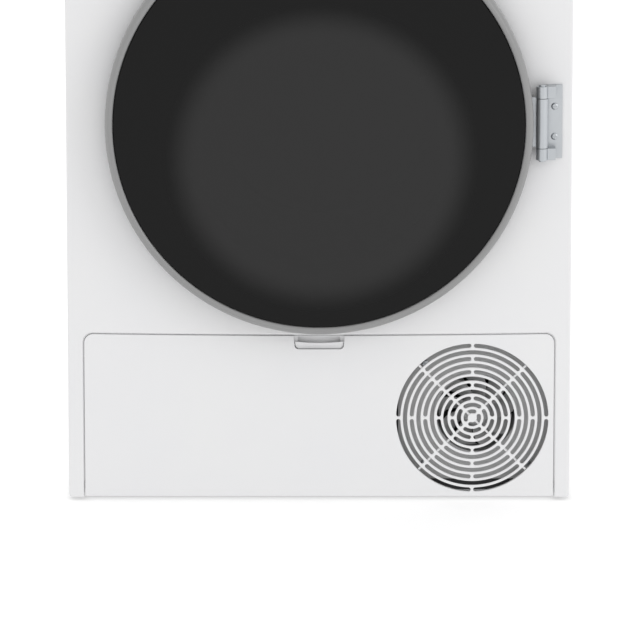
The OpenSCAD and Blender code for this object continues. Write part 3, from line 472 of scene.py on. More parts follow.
def rear_rib(angle):
    """One of the two long ribs that cross behind the slots."""
    rib = block((-90, panel_front + 2.3, -1.2), (90, panel_front + 6.3, 1.2), 0.3)
    return set_at(rib, grille_x, 0, grille_z, angle)


def bar(axis, a, b, p, q, r, steps=32):
    """A round bar of radius r from a to b along X, Y or Z; p and q are its two other coordinates."""
    work = bmesh.new()
    sizes = {"segments": steps, "radius1": r * MM, "radius2": r * MM, "depth": (b - a) * MM}
    bmesh.ops.create_cone(work, cap_ends=True, **sizes)
    mesh = mesh_from(work, "bar")
    middle = (a + b) / 2
    place, turn = {
        "X": ((middle, p, q), Matrix.Rotation(math.pi / 2, 4, "Y")),
        "Y": ((p, middle, q), Matrix.Rotation(math.pi / 2, 4, "X")),
        "Z": ((p, q, middle), Matrix.Identity(4)),
    }[axis]
    mesh.transform(Matrix.Translation(Vector(place) * MM) @ turn)
    return mesh


def pair_of(low, high, edge):
    """A block on the right of the middle and its twin on the left."""
    twin = block((-high[0], low[1], low[2]), (-low[0], high[1], high[2]), edge)
    return [twin, block(low, high, edge)]


pocket_half, pocket_foot, pocket_head = 32, 183, 201
pocket_front, pocket_back = panel_front + 2, -275.6
pocket_rear = pocket_back - 1.2
keeper_half, keeper_head = 8, 191.4
ledge_front, ledge_back = -281.4, -280
pocket_corner = (pocket_half, pocket_back, pocket_head)
piece_of(
    "kick_flap_moulding",
    [
        plate("flap_face", flap_face, slots, panel_front, 2.5, 0.7, 2),
        hollow_rim("flap_rim", flap_rim_line, inner_rim, panel_front + 1.6, rim_back),
        grille_rib, rear_rib(45), rear_rib(-45),
        bar("X", flap_low.x, -opening_half + 4, -277, 16, 3),
        bar("X", opening_half - 4, flap_high.x, -277, 16, 3),
        *pair_of((pocket_half - 1.6, pocket_front, pocket_foot), pocket_corner, 0.2),
        block((-pocket_half, pocket_rear, keeper_head), pocket_corner, 0.2),
        *pair_of((keeper_half, pocket_rear, pocket_foot), (pocket_half, pocket_back, keeper_head), 0.2),
        block((-pocket_half, pocket_front, pocket_foot), (pocket_half, pocket_back, pocket_foot + 1.4), 0.2),
        block((-31, ledge_front, 184.6), (31, ledge_back, 188.2), 0.2),
        *pair_of((25, ledge_front, 187), (31, ledge_back, 200.5), 0.2),
    ],
    "flap", "white_plastic", abs_white, "kick_flap",
)

# ---- Flap latch ----
# Small white lever in the flap's top edge. Its lip has a hollow face for the fingertip and a bead
# along the foot, which catches the light; the arm behind ends in a barb.
lip_low, lip_high = in_mm("flap_latch")


lip_front, lip_back = -284.6, -282.2
lip_foot, lip_tall = 186.5, 8.0


def lip_mesh():
    """The lip, lofted from its rounded lower corners to its dipped upper edge, with a hollowed face."""
    work = bmesh.new()
    across, up = 28, 9
    rows = []
    for j in range(up + 1):
        t = j / up
        corner = max(0.0, 1 - t / 0.35)
        half = 27.2 + 1.6 * t - 2.6 * corner ** 2
        bulge = 1.1 * (1 - t) ** 3 - 0.5 * math.sin(math.pi * min(1, t * 1.15))
        row = []
        for i in range(across + 1):
            side = 2 * i / across - 1
            z = lip_foot + lip_tall * t - 1.8 * t * (1 - side ** 2)
            row.append(work.verts.new((half * side * MM, (lip_front - bulge) * MM, z * MM)))
        rows.append(row)
    back_rows = [[work.verts.new((v.co.x, lip_back * MM, v.co.z)) for v in row] for row in rows]
    return shell_between(work, "lip", rows, back_rows)


piece_of(
    "flap_latch_lever",
    [
        lip_mesh(),
        block((-6, lip_back - 0.4, 187), (6, -269.5, 189.2), 0.3),
        block((-6, -271.8, 183.6), (6, -269.5, 188), 0.3),
        bar("X", lip_low.x, lip_high.x, -281, 188, 1.2, 20),
    ],
    "latch", "white_plastic", abs_white, "flap_latch",
)

# ---- Door ring ----
# Satin lacquered ring of moulded ABS in mid grey. Its face is barely crowned, and its inner lip is
# turned down towards the cover, so the lip reads as a thin lighter line.
lacquer = surface("satin_grey_lacquer", "#8a8a8a", "#848484", 0.8, 0.004, 0.30, 0.38,
                  Coat_Weight=0.3, Coat_Roughness=0.2)
glass_low, glass_high = in_mm("door_glass")
ring_r = (door_high.x - door_low.x) / 2
glass_r = (glass_high.x - glass_low.x) / 2


def rounded_profile(points, radius, steps=4):
    """A closed profile with its corners rounded; radius is one number or one for each corner."""
    out = []
    count = len(points)
    for i, p in enumerate(points):
        r = radius[i] if isinstance(radius, (list, tuple)) else radius
        p = Vector(p)
        to_last = Vector(points[i - 1]) - p
        to_next = Vector(points[(i + 1) % count]) - p
        r = min(r, to_last.length * 0.45, to_next.length * 0.45)
        if r < 1e-4:
            out.append(tuple(p))
            continue
        a, b = p + to_last.normalized() * r, p + to_next.normalized() * r
        for k in range(steps + 1):
            t = k / steps
            out.append(tuple((1 - t) ** 2 * a + 2 * t * (1 - t) * p + t * t * b))
    return out


ring_profile = rounded_profile(
    [(glass_r + 0.6, -299), (glass_r + 0.6, -318.2), (glass_r + 2.6, -320.3), (ring_r - 4, -320.6),
     (ring_r, -316), (ring_r, -299), (ring_r - 3, -296), (226, -296), (226, -299)],
    [0.4, 1.0, 1.2, 3.0, 4.0, 1.0, 1.0, 0.5, 0.5],
)
ring_mesh = turned(ring_profile, 0, door_z, 256)
piece_of("door_ring_moulding", [ring_mesh], "door", "ring_plastic", lacquer, "door_ring")

# ---- Door cover ----
# Domed cover of smoked acrylic, 3 mm thick. Its rear is printed black in a wide band round the rim;
# the print fades out below the middle, where the bowl behind shows as a paler disc.
cover_front, cover_rise, cover_thick = -328, 8.5, 3
dome_r = (glass_r ** 2 + cover_rise ** 2) / (2 * cover_rise)
dome_steps = 28
outer_curve = []
for i in range(dome_steps + 1):
    r = glass_r * i / dome_steps
    outer_curve.append((r, cover_front + dome_r - math.sqrt(dome_r ** 2 - r ** 2)))
inner_curve = [(r, y + cover_thick) for r, y in outer_curve]
outer_curve[-1] = (glass_r - 0.5, outer_curve[-1][1] - 0.02)
outer_curve.append((glass_r, outer_curve[-1][1] + 0.6))
cover_mesh = turned(outer_curve + inner_curve[::-1], 0, door_z, 256)

smoked, tree, shader = new_material("smoked_printed_acrylic", Roughness=0.07, Specular_IOR_Level=0.16)
window_x, window_z = 0.003, 0.423
place = add_node(tree, "ShaderNodeTexCoord")
centred = add_node(tree, "ShaderNodeMapping",
                   {"Vector": place.outputs["Object"], "Location": (-window_x, 0.0, -window_z)})
flat = add_node(tree, "ShaderNodeVectorMath", {0: centred.outputs["Vector"], 1: (1, 0, 1)},
                operation="MULTIPLY")
from_middle = add_node(tree, "ShaderNodeVectorMath", {0: flat.outputs["Vector"]}, operation="LENGTH")
fade = {"From Min": 0.146, "From Max": 0.186, "To Min": 1.0, "To Max": 0.0}
window = add_node(tree, "ShaderNodeMapRange", {"Value": from_middle.outputs["Value"], **fade},
                  interpolation_type="SMOOTHSTEP")
tint = add_node(tree, "ShaderNodeMix", {"Factor": window.outputs["Result"]}, data_type="RGBA")
tint.inputs[6].default_value = linear("#0e0e0e")
tint.inputs[7].default_value = linear("#303030")
tree.links.new(tint.outputs[2], shader.inputs["Base Color"])
cover = add_node(tree, "ShaderNodeMapRange",
                 {"Value": window.outputs["Result"], "To Min": 1.0, "To Max": 0.84})
tree.links.new(cover.outputs["Result"], shader.inputs["Alpha"])
piece_of("door_cover", [cover_mesh], "door", "smoked_cover", smoked, "door_glass")

# ---- Door bowl and frame ----
# The bowl is one deep polycarbonate pressing, tinted grey, with two fine steps round its floor. The
# frame that carries it is moulded in plain grey plastic, ribbed behind the ring.
tinted = surface("tinted_polycarbonate", "#8a8a8c", "#7e7e80", 30, 0.01, 0.12, 0.2)
bowl_r = 165
bowl_floor = in_mm("door_bowl")[1].y
bowl_profile = rounded_profile(
    [(0, bowl_floor), (126, bowl_floor), (128, bowl_floor - 2), (136, bowl_floor - 2),
     (150, bowl_floor - 14), (bowl_r, -286), (bowl_r, -313), (bowl_r + 8, -313), (bowl_r + 8, -316),
     (bowl_r - 3, -316), (bowl_r - 3, -286), (147, bowl_floor - 15), (134, bowl_floor - 5),
     (127, bowl_floor - 5), (125, bowl_floor - 3), (0, bowl_floor - 3)],
    [0, 0.8, 0.8, 4, 10, 10, 1, 1, 1, 2, 8, 8, 4, 0.8, 0.8, 0],
)
bowl_mesh = turned(bowl_profile, 0, door_z, 192)
piece_of("door_bowl_pressing", [bowl_mesh], "door", "bowl_plastic", tinted, "door_bowl")

grey_plastic = surface("moulded_grey_plastic", "#b4b4b4", "#acacad", 0.9, 0.012, 0.42, 0.55)
charcoal_plastic = surface("glass_filled_polypropylene", "#2f2f31", "#262628", 1.2, 0.02, 0.5, 0.65)

# ---- Cooling fan ----
# Moulded grey frame, screwed to the base, with an air guide that closes the space behind the grille.
# The mouth has a rolled lip, and nine swept blades turn in it on a hub.
fan_low, fan_high = in_mm("cooling_fan_frame")
fan_x, fan_z = 187, 102
fan_front = fan_low.y
mouth_r = 47
fan_half, fan_cut = 69.5, 15


def fan_face():
    """The frame's square outline with cut corners."""
    h, c = fan_half, fan_cut
    corners = [(-h, -h + c), (-h + c, -h), (h - c, -h), (h, -h + c)]
    corners += [(-x, -z) for x, z in corners]
    return [(fan_x + x, fan_z + z) for x, z in corners]


guide_left, guide_right, guide_foot, guide_head = grille_x - 88, grille_x + 95, 21, grille_z + 97
guide_outline = [(guide_left, guide_foot), (guide_right, guide_foot), (guide_right, guide_head),
                 (guide_left, guide_head)]
mouth_hole = circle(fan_x, fan_z, mouth_r + 1)
mouth_lip = rounded_profile([(mouth_r, fan_front - 1), (mouth_r + 4, fan_front - 1),
                             (mouth_r + 4, fan_front + 3), (mouth_r, fan_front + 20)], 1.2)
mouth_wall = [(mouth_r, fan_front + 1), (mouth_r + 3, fan_front + 1), (mouth_r + 3, fan_high.y - 4),
              (mouth_r, fan_high.y - 4)]
wall_inside = [(fan_x + (x - fan_x) * 0.955, fan_z + (z - fan_z) * 0.955) for x, z in fan_face()]
stay_meshes = []
for angle in (0, 120, 240):
    stay = block((10, fan_high.y - 9, -4), (mouth_r + 2, fan_high.y - 4, 4), 0.6)
    stay_meshes.append(set_at(stay, fan_x, 0, fan_z, angle))
piece_of(
    "cooling_fan_frame_moulding",
    [
        plate("fan_face", fan_face(), [mouth_hole], fan_front, 3, 0.8, 2),
        plate("air_guide", guide_outline, [mouth_hole], fan_front + 0.1, 2.9, 0.5, 1),
        plate("fan_wall", fan_face(), [wall_inside], fan_front + 1, 37, 0.5, 1),
        turned(mouth_wall, fan_x, fan_z, 96),
        turned(mouth_lip, fan_x, fan_z, 96),
        *stay_meshes,
        bar("Y", fan_high.y - 9, fan_high.y, fan_x, fan_z, 17),
        block((fan_x - 30, fan_front + 10, 13.8), (fan_x + 30, fan_high.y - 8, fan_z - 64), 0.5),
    ],
    "cabinet", "grey_plastic", grey_plastic, "cooling_fan_frame",
)


def blade(angle):
    """One swept and twisted blade, thicker at its root, about the fan's axis."""
    work = bmesh.new()
    along, chord = 7, 6
    skins = []
    for side in (1, -1):
        skin = []
        for i in range(along + 1):
            t = i / along
            r = 16.5 + (44.5 - 16.5) * t
            pitch = math.radians(48 - 20 * t)
            sweep = 0.28 * t * t
            row = []
            for k in range(chord + 1):
                u = (k / chord - 0.5) * (20 + 8 * t)
                camber = 1.6 * (1 - (2 * k / chord - 1) ** 2)
                w = (0.9 - 0.35 * t) * side + camber
                turn = sweep + u * math.cos(pitch) / r
                y = u * math.sin(pitch) + w * math.cos(pitch)
                row.append(work.verts.new((r * math.cos(turn) * MM, y * MM, r * math.sin(turn) * MM)))
            skin.append(row)
        skins.append(skin)
    return set_at(shell_between(work, "blade", *skins), fan_x, fan_front + 17, fan_z, angle)


blade_count = 9
hub = rounded_profile([(0, -258), (15, -258), (18, -254), (18, -232), (0, -232)], [0, 2, 2, 0.5, 0])
blades = [blade(360 * i / blade_count) for i in range(blade_count)]
piece_of(
    "cooling_fan_wheel",
    [turned(hub, fan_x, fan_z, 64), bar("Y", -233, -229.4, fan_x, fan_z, 3), *blades],
    "fan_rotor", "grey_plastic", grey_plastic, "cooling_fan_rotor",
)

# ---- Worktop ----
# Moulded white edge round a coated board, screwed down from the rear. A fine step runs round the
# top, where the board meets its edge.
body_of = {node: body for body, held in frame["record"]["behaviour"]["bodies"].items() for node in held}
slot_of = {part["node"]: part["material_slot"] for part in frame["record"]["subparts"]}


def eased(node, edge, angle=30):
    """A copy of a node's solid with its sharp edges rounded off by edge millimetres."""
    work = bmesh.new()
    work.from_mesh(nodes[node].data)
    bmesh.ops.remove_doubles(work, verts=work.verts[:], dist=1e-6)
    bmesh.ops.dissolve_limit(work, angle_limit=math.radians(1), verts=work.verts[:], edges=work.edges[:])
    sharp = [e for e in work.edges if len(e.link_faces) == 2 and e.calc_face_angle(0) > math.radians(angle)]
    bmesh.ops.bevel(work, geom=sharp, offset=edge * MM, segments=2, profile=0.5, affect="EDGES",
                    clamp_overlap=True)
    return mesh_from(work, node)


def finished(name, node, edge, material, *more):
    """A node's solid with eased edges, and any further meshes, as one piece on the node's own body."""
    return piece_of(name, [eased(node, edge), *more], body_of[node], slot_of[node], material, node)


finished("worktop_board", "worktop", 1.6, abs_white)

# ---- Fascia and display ----
# One white moulding across the cabinet's top, clipped to the front sheet. A smoked acrylic window is
# let into it, flush, and the control board stands behind both.
display_black = surface("smoked_display_acrylic", "#141416", "#101012", 20, 0.002, 0.05, 0.09,
                        Specular_IOR_Level=0.35)
board_green = surface("solder_mask", "#1f5f38", "#184c2c", 3, 0.03, 0.3, 0.45)
finished("fascia_moulding", "fascia", 1.0, abs_white)
finished("display_cover", "display_window", 0.5, display_black)

# ---- Knob and keys ----
# Turned plastic in satin chrome. The knob's grip is ringed with fine upright ribs, and each key is a
# short cap with a dished face; the ribs are drawn a little coarser than real ones, so that they show.
satin_chrome = surface("satin_chromed_plastic", "#c9cacb", "#bfc0c2", 0.8, 0.003, 0.16, 0.24, Metallic=1.0)


def new_tree(name, *inputs):
    """A Geometry Nodes tree with named inputs, each a name, a kind and a value to start from."""
    tree = bpy.data.node_groups.new(name, "GeometryNodeTree")
    for label, kind, value in inputs:
        socket = tree.interface.new_socket(name=label, in_out="INPUT", socket_type=kind)
        if value is not None:
            socket.default_value = value
    tree.interface.new_socket(name="Geometry", in_out="OUTPUT", socket_type="NodeSocketGeometry")
    return tree, tree.nodes.new("NodeGroupInput").outputs


def close_tree(tree, geometry, material):
    """Ends a tree: the instances are realised, get their material and go out."""
    solid = add_node(tree, "GeometryNodeRealizeInstances", {"Geometry": geometry})
    dressed = add_node(tree, "GeometryNodeSetMaterial",
                       {"Geometry": solid.outputs["Geometry"], "Material": material})
    add_node(tree, "NodeGroupOutput", {"Geometry": dressed.outputs["Geometry"]})


def as_evaluated(thing):
    """The plain mesh of an object with its modifiers applied."""
    return bpy.data.meshes.new_from_object(thing.evaluated_get(bpy.context.evaluated_depsgraph_get()))


def grown(tree, start=None, **values):
    """The plain mesh that a tree gives for the values named, from a start mesh if it takes one."""
    holder = bpy.data.objects.new(tree.name, start or bpy.data.meshes.new(tree.name))
    bpy.context.scene.collection.objects.link(holder)
    grower = holder.modifiers.new(tree.name, "NODES")
    grower.node_group = tree
    for item in tree.interface.items_tree:
        key = item.name.replace(" ", "_")
        if item.in_out == "INPUT" and key in values:
            grower[item.identifier] = values[key]
    mesh = as_evaluated(holder)
    bpy.data.objects.remove(holder)
    return mesh


# Round bars that stand in a ring about the Y axis
bar_ring, given = new_tree(
    "bar_ring", ("Count", "NodeSocketInt", 60), ("Ring radius", "NodeSocketFloat", 0.027),
    ("Bar radius", "NodeSocketFloat", 0.0005), ("Bar length", "NodeSocketFloat", 0.014),
    ("Centre", "NodeSocketVector", (0, 0, 0)),
)
stand = add_node(bar_ring, "GeometryNodeMeshCircle",
                 {"Vertices": given["Count"], "Radius": given["Ring radius"]})
one_bar = add_node(bar_ring, "GeometryNodeMeshCylinder",
                   {"Vertices": 8, "Radius": given["Bar radius"], "Depth": given["Bar length"]})
bars = add_node(bar_ring, "GeometryNodeInstanceOnPoints",
                {"Points": stand.outputs["Mesh"], "Instance": one_bar.outputs["Mesh"]})
laid = add_node(bar_ring, "GeometryNodeTransform",
                {"Geometry": bars.outputs["Instances"], "Translation": given["Centre"],
                 "Rotation": (math.pi / 2, 0, 0)})
close_tree(bar_ring, laid.outputs["Geometry"], satin_chrome)

knob_low, knob_high = in_mm("program_knob")
knob_x, knob_z = (knob_low.x + knob_high.x) / 2, (knob_low.z + knob_high.z) / 2
knob_r = (knob_high.x - knob_low.x) / 2
knob_profile = rounded_profile(
    [(0, knob_low.y + 1.2), (knob_r - 8, knob_low.y + 1.2), (knob_r - 6, knob_low.y),
     (knob_r - 2.6, knob_low.y), (knob_r - 1.1, knob_low.y + 1.8), (knob_r - 1.1, panel_front - 2.6),
     (knob_r - 0.2, panel_front - 2.2), (knob_r - 0.2, panel_front - 0.5), (0, panel_front - 0.5)],
    [0, 1.0, 0.8, 0.8, 0.8, 0.3, 0.3, 0.3, 0],
)
knob_ribs = grown(bar_ring, Count=72, Ring_radius=(knob_r - 1.1) * MM, Bar_radius=0.00055,
                  Bar_length=0.0125, Centre=(knob_x * MM, (panel_front - 9.4) * MM, knob_z * MM))
knob_top = knob_z + knob_r
pointer = block((knob_x - 0.7, knob_low.y + 0.1, knob_top - 12),
                (knob_x + 0.7, knob_low.y + 1.4, knob_top - 4), 0.2)
piece_of(
    "knob_cap",
    [
        turned(knob_profile, knob_x, knob_z, 144), knob_ribs,
        bar("Y", panel_front - 1, knob_high.y, knob_x, knob_z, 4),
        pointer,
    ],
    "knob", "chrome_plastic", satin_chrome, "program_knob",
)
for node in ("power_button", "start_button", "option_button_left", "option_button_right"):
    low, high = in_mm(node)
    x, z, r = (low.x + high.x) / 2, (low.z + high.z) / 2, (high.x - low.x) / 2
    cap = rounded_profile(
        [(0, low.y + 0.7), (r - 3.2, low.y + 0.5), (r - 2, low.y), (r - 0.6, low.y), (r, low.y + 0.8),
         (r, panel_front + 2), (0, panel_front + 2)],
        [0, 1.5, 0.6, 0.6, 0.6, 0.3, 0],
    )
    meshes = [turned(cap, x, z, 64), bar("Y", panel_front + 1, high.y, x, z, 3)]
    piece_of(node + "_cap", meshes, body_of[node], "chrome_plastic", satin_chrome, node)

# ---- Condensate tank ----
# Blow-moulded natural polypropylene behind a white moulded front. The front is undercut at its foot
# for the fingers, and the tank slides in a grey moulded bay.
milky = surface("natural_polypropylene", "#d8dde0", "#cdd4d8", 2, 0.01, 0.35, 0.48)
finished("tank_drawer_front", "tank_front", 0.9, abs_white)
finished("tank_bottle", "water_tank", 4.0, milky)
finished("tank_bay_moulding", "tank_bay", 1.0, grey_plastic)

# ---- Hinge, hook and catch ----
# Zinc-plated pressed steel, the knuckles curled round a loose pin. The bracket is screwed to the front
# sheet; the hook snaps into a dark moulded catch on the other side.
zinc = surface("zinc_plated_steel", "#c2c5c8", "#b2b6ba", 3, 0.006, 0.26, 0.4, Metallic=1.0)
finished("hinge_bracket_pressing", "hinge_bracket", 0.7, zinc)
finished("hinge_strap_pressing", "hinge_strap", 0.7, zinc)
finished("hinge_pin_turned", "hinge_pin", 0.8, zinc)
finished("door_hook_pressing", "door_hook", 0.5, zinc)
finished("door_catch_moulding", "door_catch", 0.8, charcoal_plastic)
finished("door_frame_moulding", "door_frame", 0.8, grey_plastic)

# ---- Rear sheet, duct cover and lead entry ----
# Bare galvanised steel, with the broad spangle of the zinc. The duct cover is drawn from one sheet and
# screwed on over the air duct; the lead enters through a ringed gland.
galvanised = surface("galvanised_sheet", "#b9bdc0", "#a9aeb2", 14, 0.01, 0.3, 0.48, Metallic=0.85)
finished("rear_sheet", "rear_panel", 0.4, galvanised)
finished("duct_cover_pressing", "rear_duct_cover", 0.55, galvanised)
gland_low, gland_high = in_mm("mains_gland")
gland_x, gland_z = (gland_low.x + gland_high.x) / 2, (gland_low.z + gland_high.z) / 2
gland_tail = gland_high.y
ridges = []
for i in range(5):
    y = gland_tail - 20 + 4 * i
    crest, root = 10.6 - 0.35 * i, 8.9 - 0.35 * i
    ridges += [(crest, y), (crest, y + 2.2), (root, y + 2.6), (root, y + 3.9)]
gland_profile = rounded_profile(
    [(4, gland_low.y), (11, gland_low.y), (11, gland_low.y + 7.2), (16, gland_low.y + 7.2),
     (16, gland_low.y + 13), (11, gland_low.y + 13.6)] + ridges[:-1] + [(7.4, gland_tail), (4, gland_tail)],
    0.35, 2,
)
piece_of("lead_gland", [turned(gland_profile, gland_x, gland_z, 72)],
         "cabinet", "dark_plastic", charcoal_plastic, "mains_gland")

# ---- Base and levelling feet ----
# The base is one dark polypropylene moulding that carries everything. Each foot is a ribbed pad on a
# rolled M10 stud with a hexagon; the thread is drawn as rings, a turn every 1.5 mm.
finished("base_moulding", "base_tray", 0.9, charcoal_plastic)
pad = rounded_profile([(0, 0), (19.2, 0), (20, 0.8), (20, 2.4), (19.2, 3), (19.6, 3.6), (19.2, 5.4),
                       (17, 6.2), (0, 6.2)], 0.4, 3)
hexagon = [(0, 5.8), (8.4, 5.8), (9, 6.4), (9, 8.9), (8.4, 9.5), (0, 9.5)]
thread = [(5 if k % 2 else 4.3, 9.5 + 0.75 * k) for k in range(25)]
for side in ("front_left", "front_right", "rear_left", "rear_right"):
    node = side + "_foot"
    low, high = in_mm(node)
    stud = [(0, 9.2)] + thread + [(3.8, high.z), (0, high.z)]
    middle = Matrix.Translation(((low.x + high.x) / 2 * MM, (low.y + high.y) / 2 * MM, 0))
    parts = [turned(pad, 0, 0, 72), turned(hexagon, 0, 0, 6), turned(stud, 0, 0, 32)]
    for mesh in parts:
        mesh.transform(middle @ Matrix.Rotation(math.pi / 2, 4, "X"))
    piece_of(node + "_turned", parts, body_of[node], slot_of[node], charcoal_plastic, node)

# ---- Heat exchangers ----
# Stacks of plain aluminium fins pressed on to tubes between two end plates, all in one aluminium
# finish. Real fins stand about 2 mm apart; here they are 3 mm apart, which is as fine as shows.
fin_metal = surface("plain_aluminium", "#d2d4d6", "#c4c7ca", 2, 0.01, 0.3, 0.45, Metallic=1.0)

# Equal blocks in a straight row
block_row, given = new_tree(
    "block_row", ("Count", "NodeSocketInt", 10), ("Start", "NodeSocketVector", (0, 0, 0)),
    ("Pitch", "NodeSocketVector", (0.003, 0, 0)), ("Size", "NodeSocketVector", (0.0005, 0.09, 0.16)),
)
row = add_node(block_row, "GeometryNodeMeshLine",
               {"Count": given["Count"], "Start Location": given["Start"], "Offset": given["Pitch"]})
one_block = add_node(block_row, "GeometryNodeMeshCube", {"Size": given["Size"]})
blocks = add_node(block_row, "GeometryNodeInstanceOnPoints",
                  {"Points": row.outputs["Mesh"], "Instance": one_block.outputs["Mesh"]})
close_tree(block_row, blocks.outputs["Instances"], fin_metal)

fin_pitch, fin_thick = 3.0, 0.5
for node in ("evaporator", "condenser"):
    low, high = in_mm(node)
    middle, size = (low + high) / 2, high - low
    count = int((size.x - 8) / fin_pitch)
    first = middle.x - fin_pitch * (count - 1) / 2
    fin_stack = grown(block_row, Count=count, Start=(first * MM, middle.y * MM, middle.z * MM),
                      Pitch=(fin_pitch * MM, 0, 0),
                      Size=(fin_thick * MM, (size.y - 1) * MM, (size.z - 1) * MM))
    ends = [block((x, low.y, low.z), (x + 1.5, high.y, high.z), 0.4) for x in (low.x, high.x - 1.5)]
    tubes = []
    y = low.y + 16
    while y < high.y - 9:
        z = low.z + 22
        while z < high.z - 9:
            tubes.append(bar("X", low.x, high.x, y, z, 5, 20))
            z += 44
        y += 32
    piece_of(node + "_stack", [fin_stack, *ends, *tubes], "cabinet", "alu_fins", fin_metal, node)

# ---- Exchanger tunnel, cover and levers ----
# The tunnel is moulded with the air duct. Its cover is grey, ribbed against the suction of the fan, and
# two orange levers turn through its ears to press it on to its seal.
orange = surface("orange_acetal", "#e07c24", "#d5731e", 0.9, 0.012, 0.38, 0.5)
cover_low, cover_high = in_mm("exchanger_cover")
cover_middle = (cover_low.z + cover_high.z) / 2
cover_ribs = grown(block_row, Count=5, Start=((cover_low.x + 28) * MM, -0.2628, cover_middle * MM),
                   Pitch=(0.012, 0, 0), Size=(0.0016, 0.0022, 0.1))
finished("exchanger_cover_moulding", "exchanger_cover", 0.9, grey_plastic, cover_ribs)
finished("upper_lever_moulding", "upper_cover_lever", 0.9, orange)
finished("lower_lever_moulding", "lower_cover_lever", 0.9, orange)
finished("tunnel_moulding", "exchanger_tunnel", 0.9, charcoal_plastic)

# ---- Refrigerant and air machinery ----
# A black dipped compressor on rubber feet, copper pipes, a laminated motor with its fan, a small
# white pump in the sump, and the grey front bulkhead, which carries the drum's rollers and the filter.
black_paint = surface("black_dipped_steel", "#1f1f21", "#18181a", 2, 0.02, 0.35, 0.5)
copper = surface("drawn_copper", "#b87333", "#9c5a28", 4, 0.006, 0.22, 0.4, Metallic=1.0)
motor_steel = surface("lamination_steel", "#909396", "#7c8084", 1.5, 0.02, 0.4, 0.55,
                      stretch=(1, 0.3, 1), Metallic=0.9)
rubber = surface("moulded_rubber", "#2e2e2f", "#262627", 1.0, 0.02, 0.6, 0.75)
filter_grey = surface("filter_moulding", "#606063", "#545457", 0.9, 0.02, 0.5, 0.62)
finished("compressor_shell", "compressor", 0.8, black_paint)
finished("pump_moulding", "condensate_pump", 1.0, abs_white)
finished("bulkhead_moulding", "front_bulkhead", 0.9, grey_plastic)
finished("lint_filter_moulding", "lint_filter", 0.6, filter_grey)
finished("motor_frame", "drive_motor", 1.0, motor_steel)

# ---- Drum and lifters ----
# Rolled stainless sheet, brushed round its length, with rows of pressed dimples that keep the laundry
# from sticking; three grey moulded lifters are riveted on inside.
brushed = surface("brushed_stainless", "#c8c9ca", "#bdbec0", 1.0, 0.006, 0.22, 0.36,
                  stretch=(1, 40, 1), Metallic=1.0)
drum_low, drum_high = in_mm("drum")
drum_r, drum_z = (drum_high.x - drum_low.x) / 2, (drum_high.z + drum_low.z) / 2


def maths(tree, operation, *values):
    """The result of a Math node on one or two values."""
    return add_node(tree, "ShaderNodeMath", dict(enumerate(values)), operation=operation).outputs["Value"]


def added(tree, a, b):
    """The sum of two vectors."""
    return add_node(tree, "ShaderNodeVectorMath", {0: a, 1: b}, operation="ADD").outputs["Vector"]


# Low domes on the inside of a cylinder about the Y axis, every other row set half a step on
dimple_field, given = new_tree(
    "dimple_field", ("Around", "NodeSocketInt", 60), ("Rows", "NodeSocketInt", 12),
    ("Radius", "NodeSocketFloat", 0.27), ("Row pitch", "NodeSocketFloat", 0.03),
    ("Start", "NodeSocketVector", (0, 0, 0)), ("Dimple radius", "NodeSocketFloat", 0.004),
)
total = maths(dimple_field, "MULTIPLY", given["Around"], given["Rows"])
spots = add_node(dimple_field, "GeometryNodePoints", {"Count": total})
number = add_node(dimple_field, "GeometryNodeInputIndex").outputs["Index"]
row_number = maths(dimple_field, "FLOOR", maths(dimple_field, "DIVIDE", number, given["Around"]))
step_on = maths(dimple_field, "ADD", number, maths(dimple_field, "MULTIPLY", row_number, 0.5))
turns = maths(dimple_field, "DIVIDE", step_on, given["Around"])
turn_angle = maths(dimple_field, "MULTIPLY", turns, 2 * math.pi)
across = maths(dimple_field, "COSINE", turn_angle)
upward = maths(dimple_field, "SINE", turn_angle)
outward = add_node(dimple_field, "ShaderNodeCombineXYZ", {"X": across, "Z": upward})
out_to = add_node(dimple_field, "ShaderNodeVectorMath",
                  {0: outward.outputs["Vector"], "Scale": given["Radius"]}, operation="SCALE")
down_drum = add_node(dimple_field, "ShaderNodeCombineXYZ",
                     {"Y": maths(dimple_field, "MULTIPLY", row_number, given["Row pitch"])})
on_shell = added(dimple_field, out_to.outputs["Vector"], down_drum.outputs["Vector"])
spot_at = added(dimple_field, on_shell, given["Start"])
placed = add_node(dimple_field, "GeometryNodeSetPosition",
                  {"Geometry": spots.outputs["Geometry"], "Position": spot_at})
facing = add_node(dimple_field, "FunctionNodeAlignRotationToVector", {"Vector": outward.outputs["Vector"]},
                  axis="Z")
dome = add_node(dimple_field, "GeometryNodeMeshUVSphere",
                {"Segments": 10, "Rings": 6, "Radius": given["Dimple radius"]})
domes = add_node(dimple_field, "GeometryNodeInstanceOnPoints",
                 {"Points": placed.outputs["Geometry"], "Instance": dome.outputs["Mesh"],
                  "Rotation": facing.outputs["Rotation"], "Scale": (1, 1, 0.3)})
close_tree(dimple_field, domes.outputs["Instances"], brushed)

dimples = grown(dimple_field, Around=72, Rows=13, Radius=(drum_r - 1.2) * MM, Row_pitch=0.03,
                Start=(0, (drum_low.y + 45) * MM, drum_z * MM), Dimple_radius=0.004)
finished("drum_shell", "drum", 0.4, brushed, dimples)
finished("lifter_mouldings", "drum_lifters", 2.5, grey_plastic)

# ---- Screws ----
# Zinc-plated pan-head screws with a cross recess, all of one size. They hold the worktop, the duct
# cover, the hinge bracket and the cooling fan's frame.
head_r, head_h = 4.2, 2.0


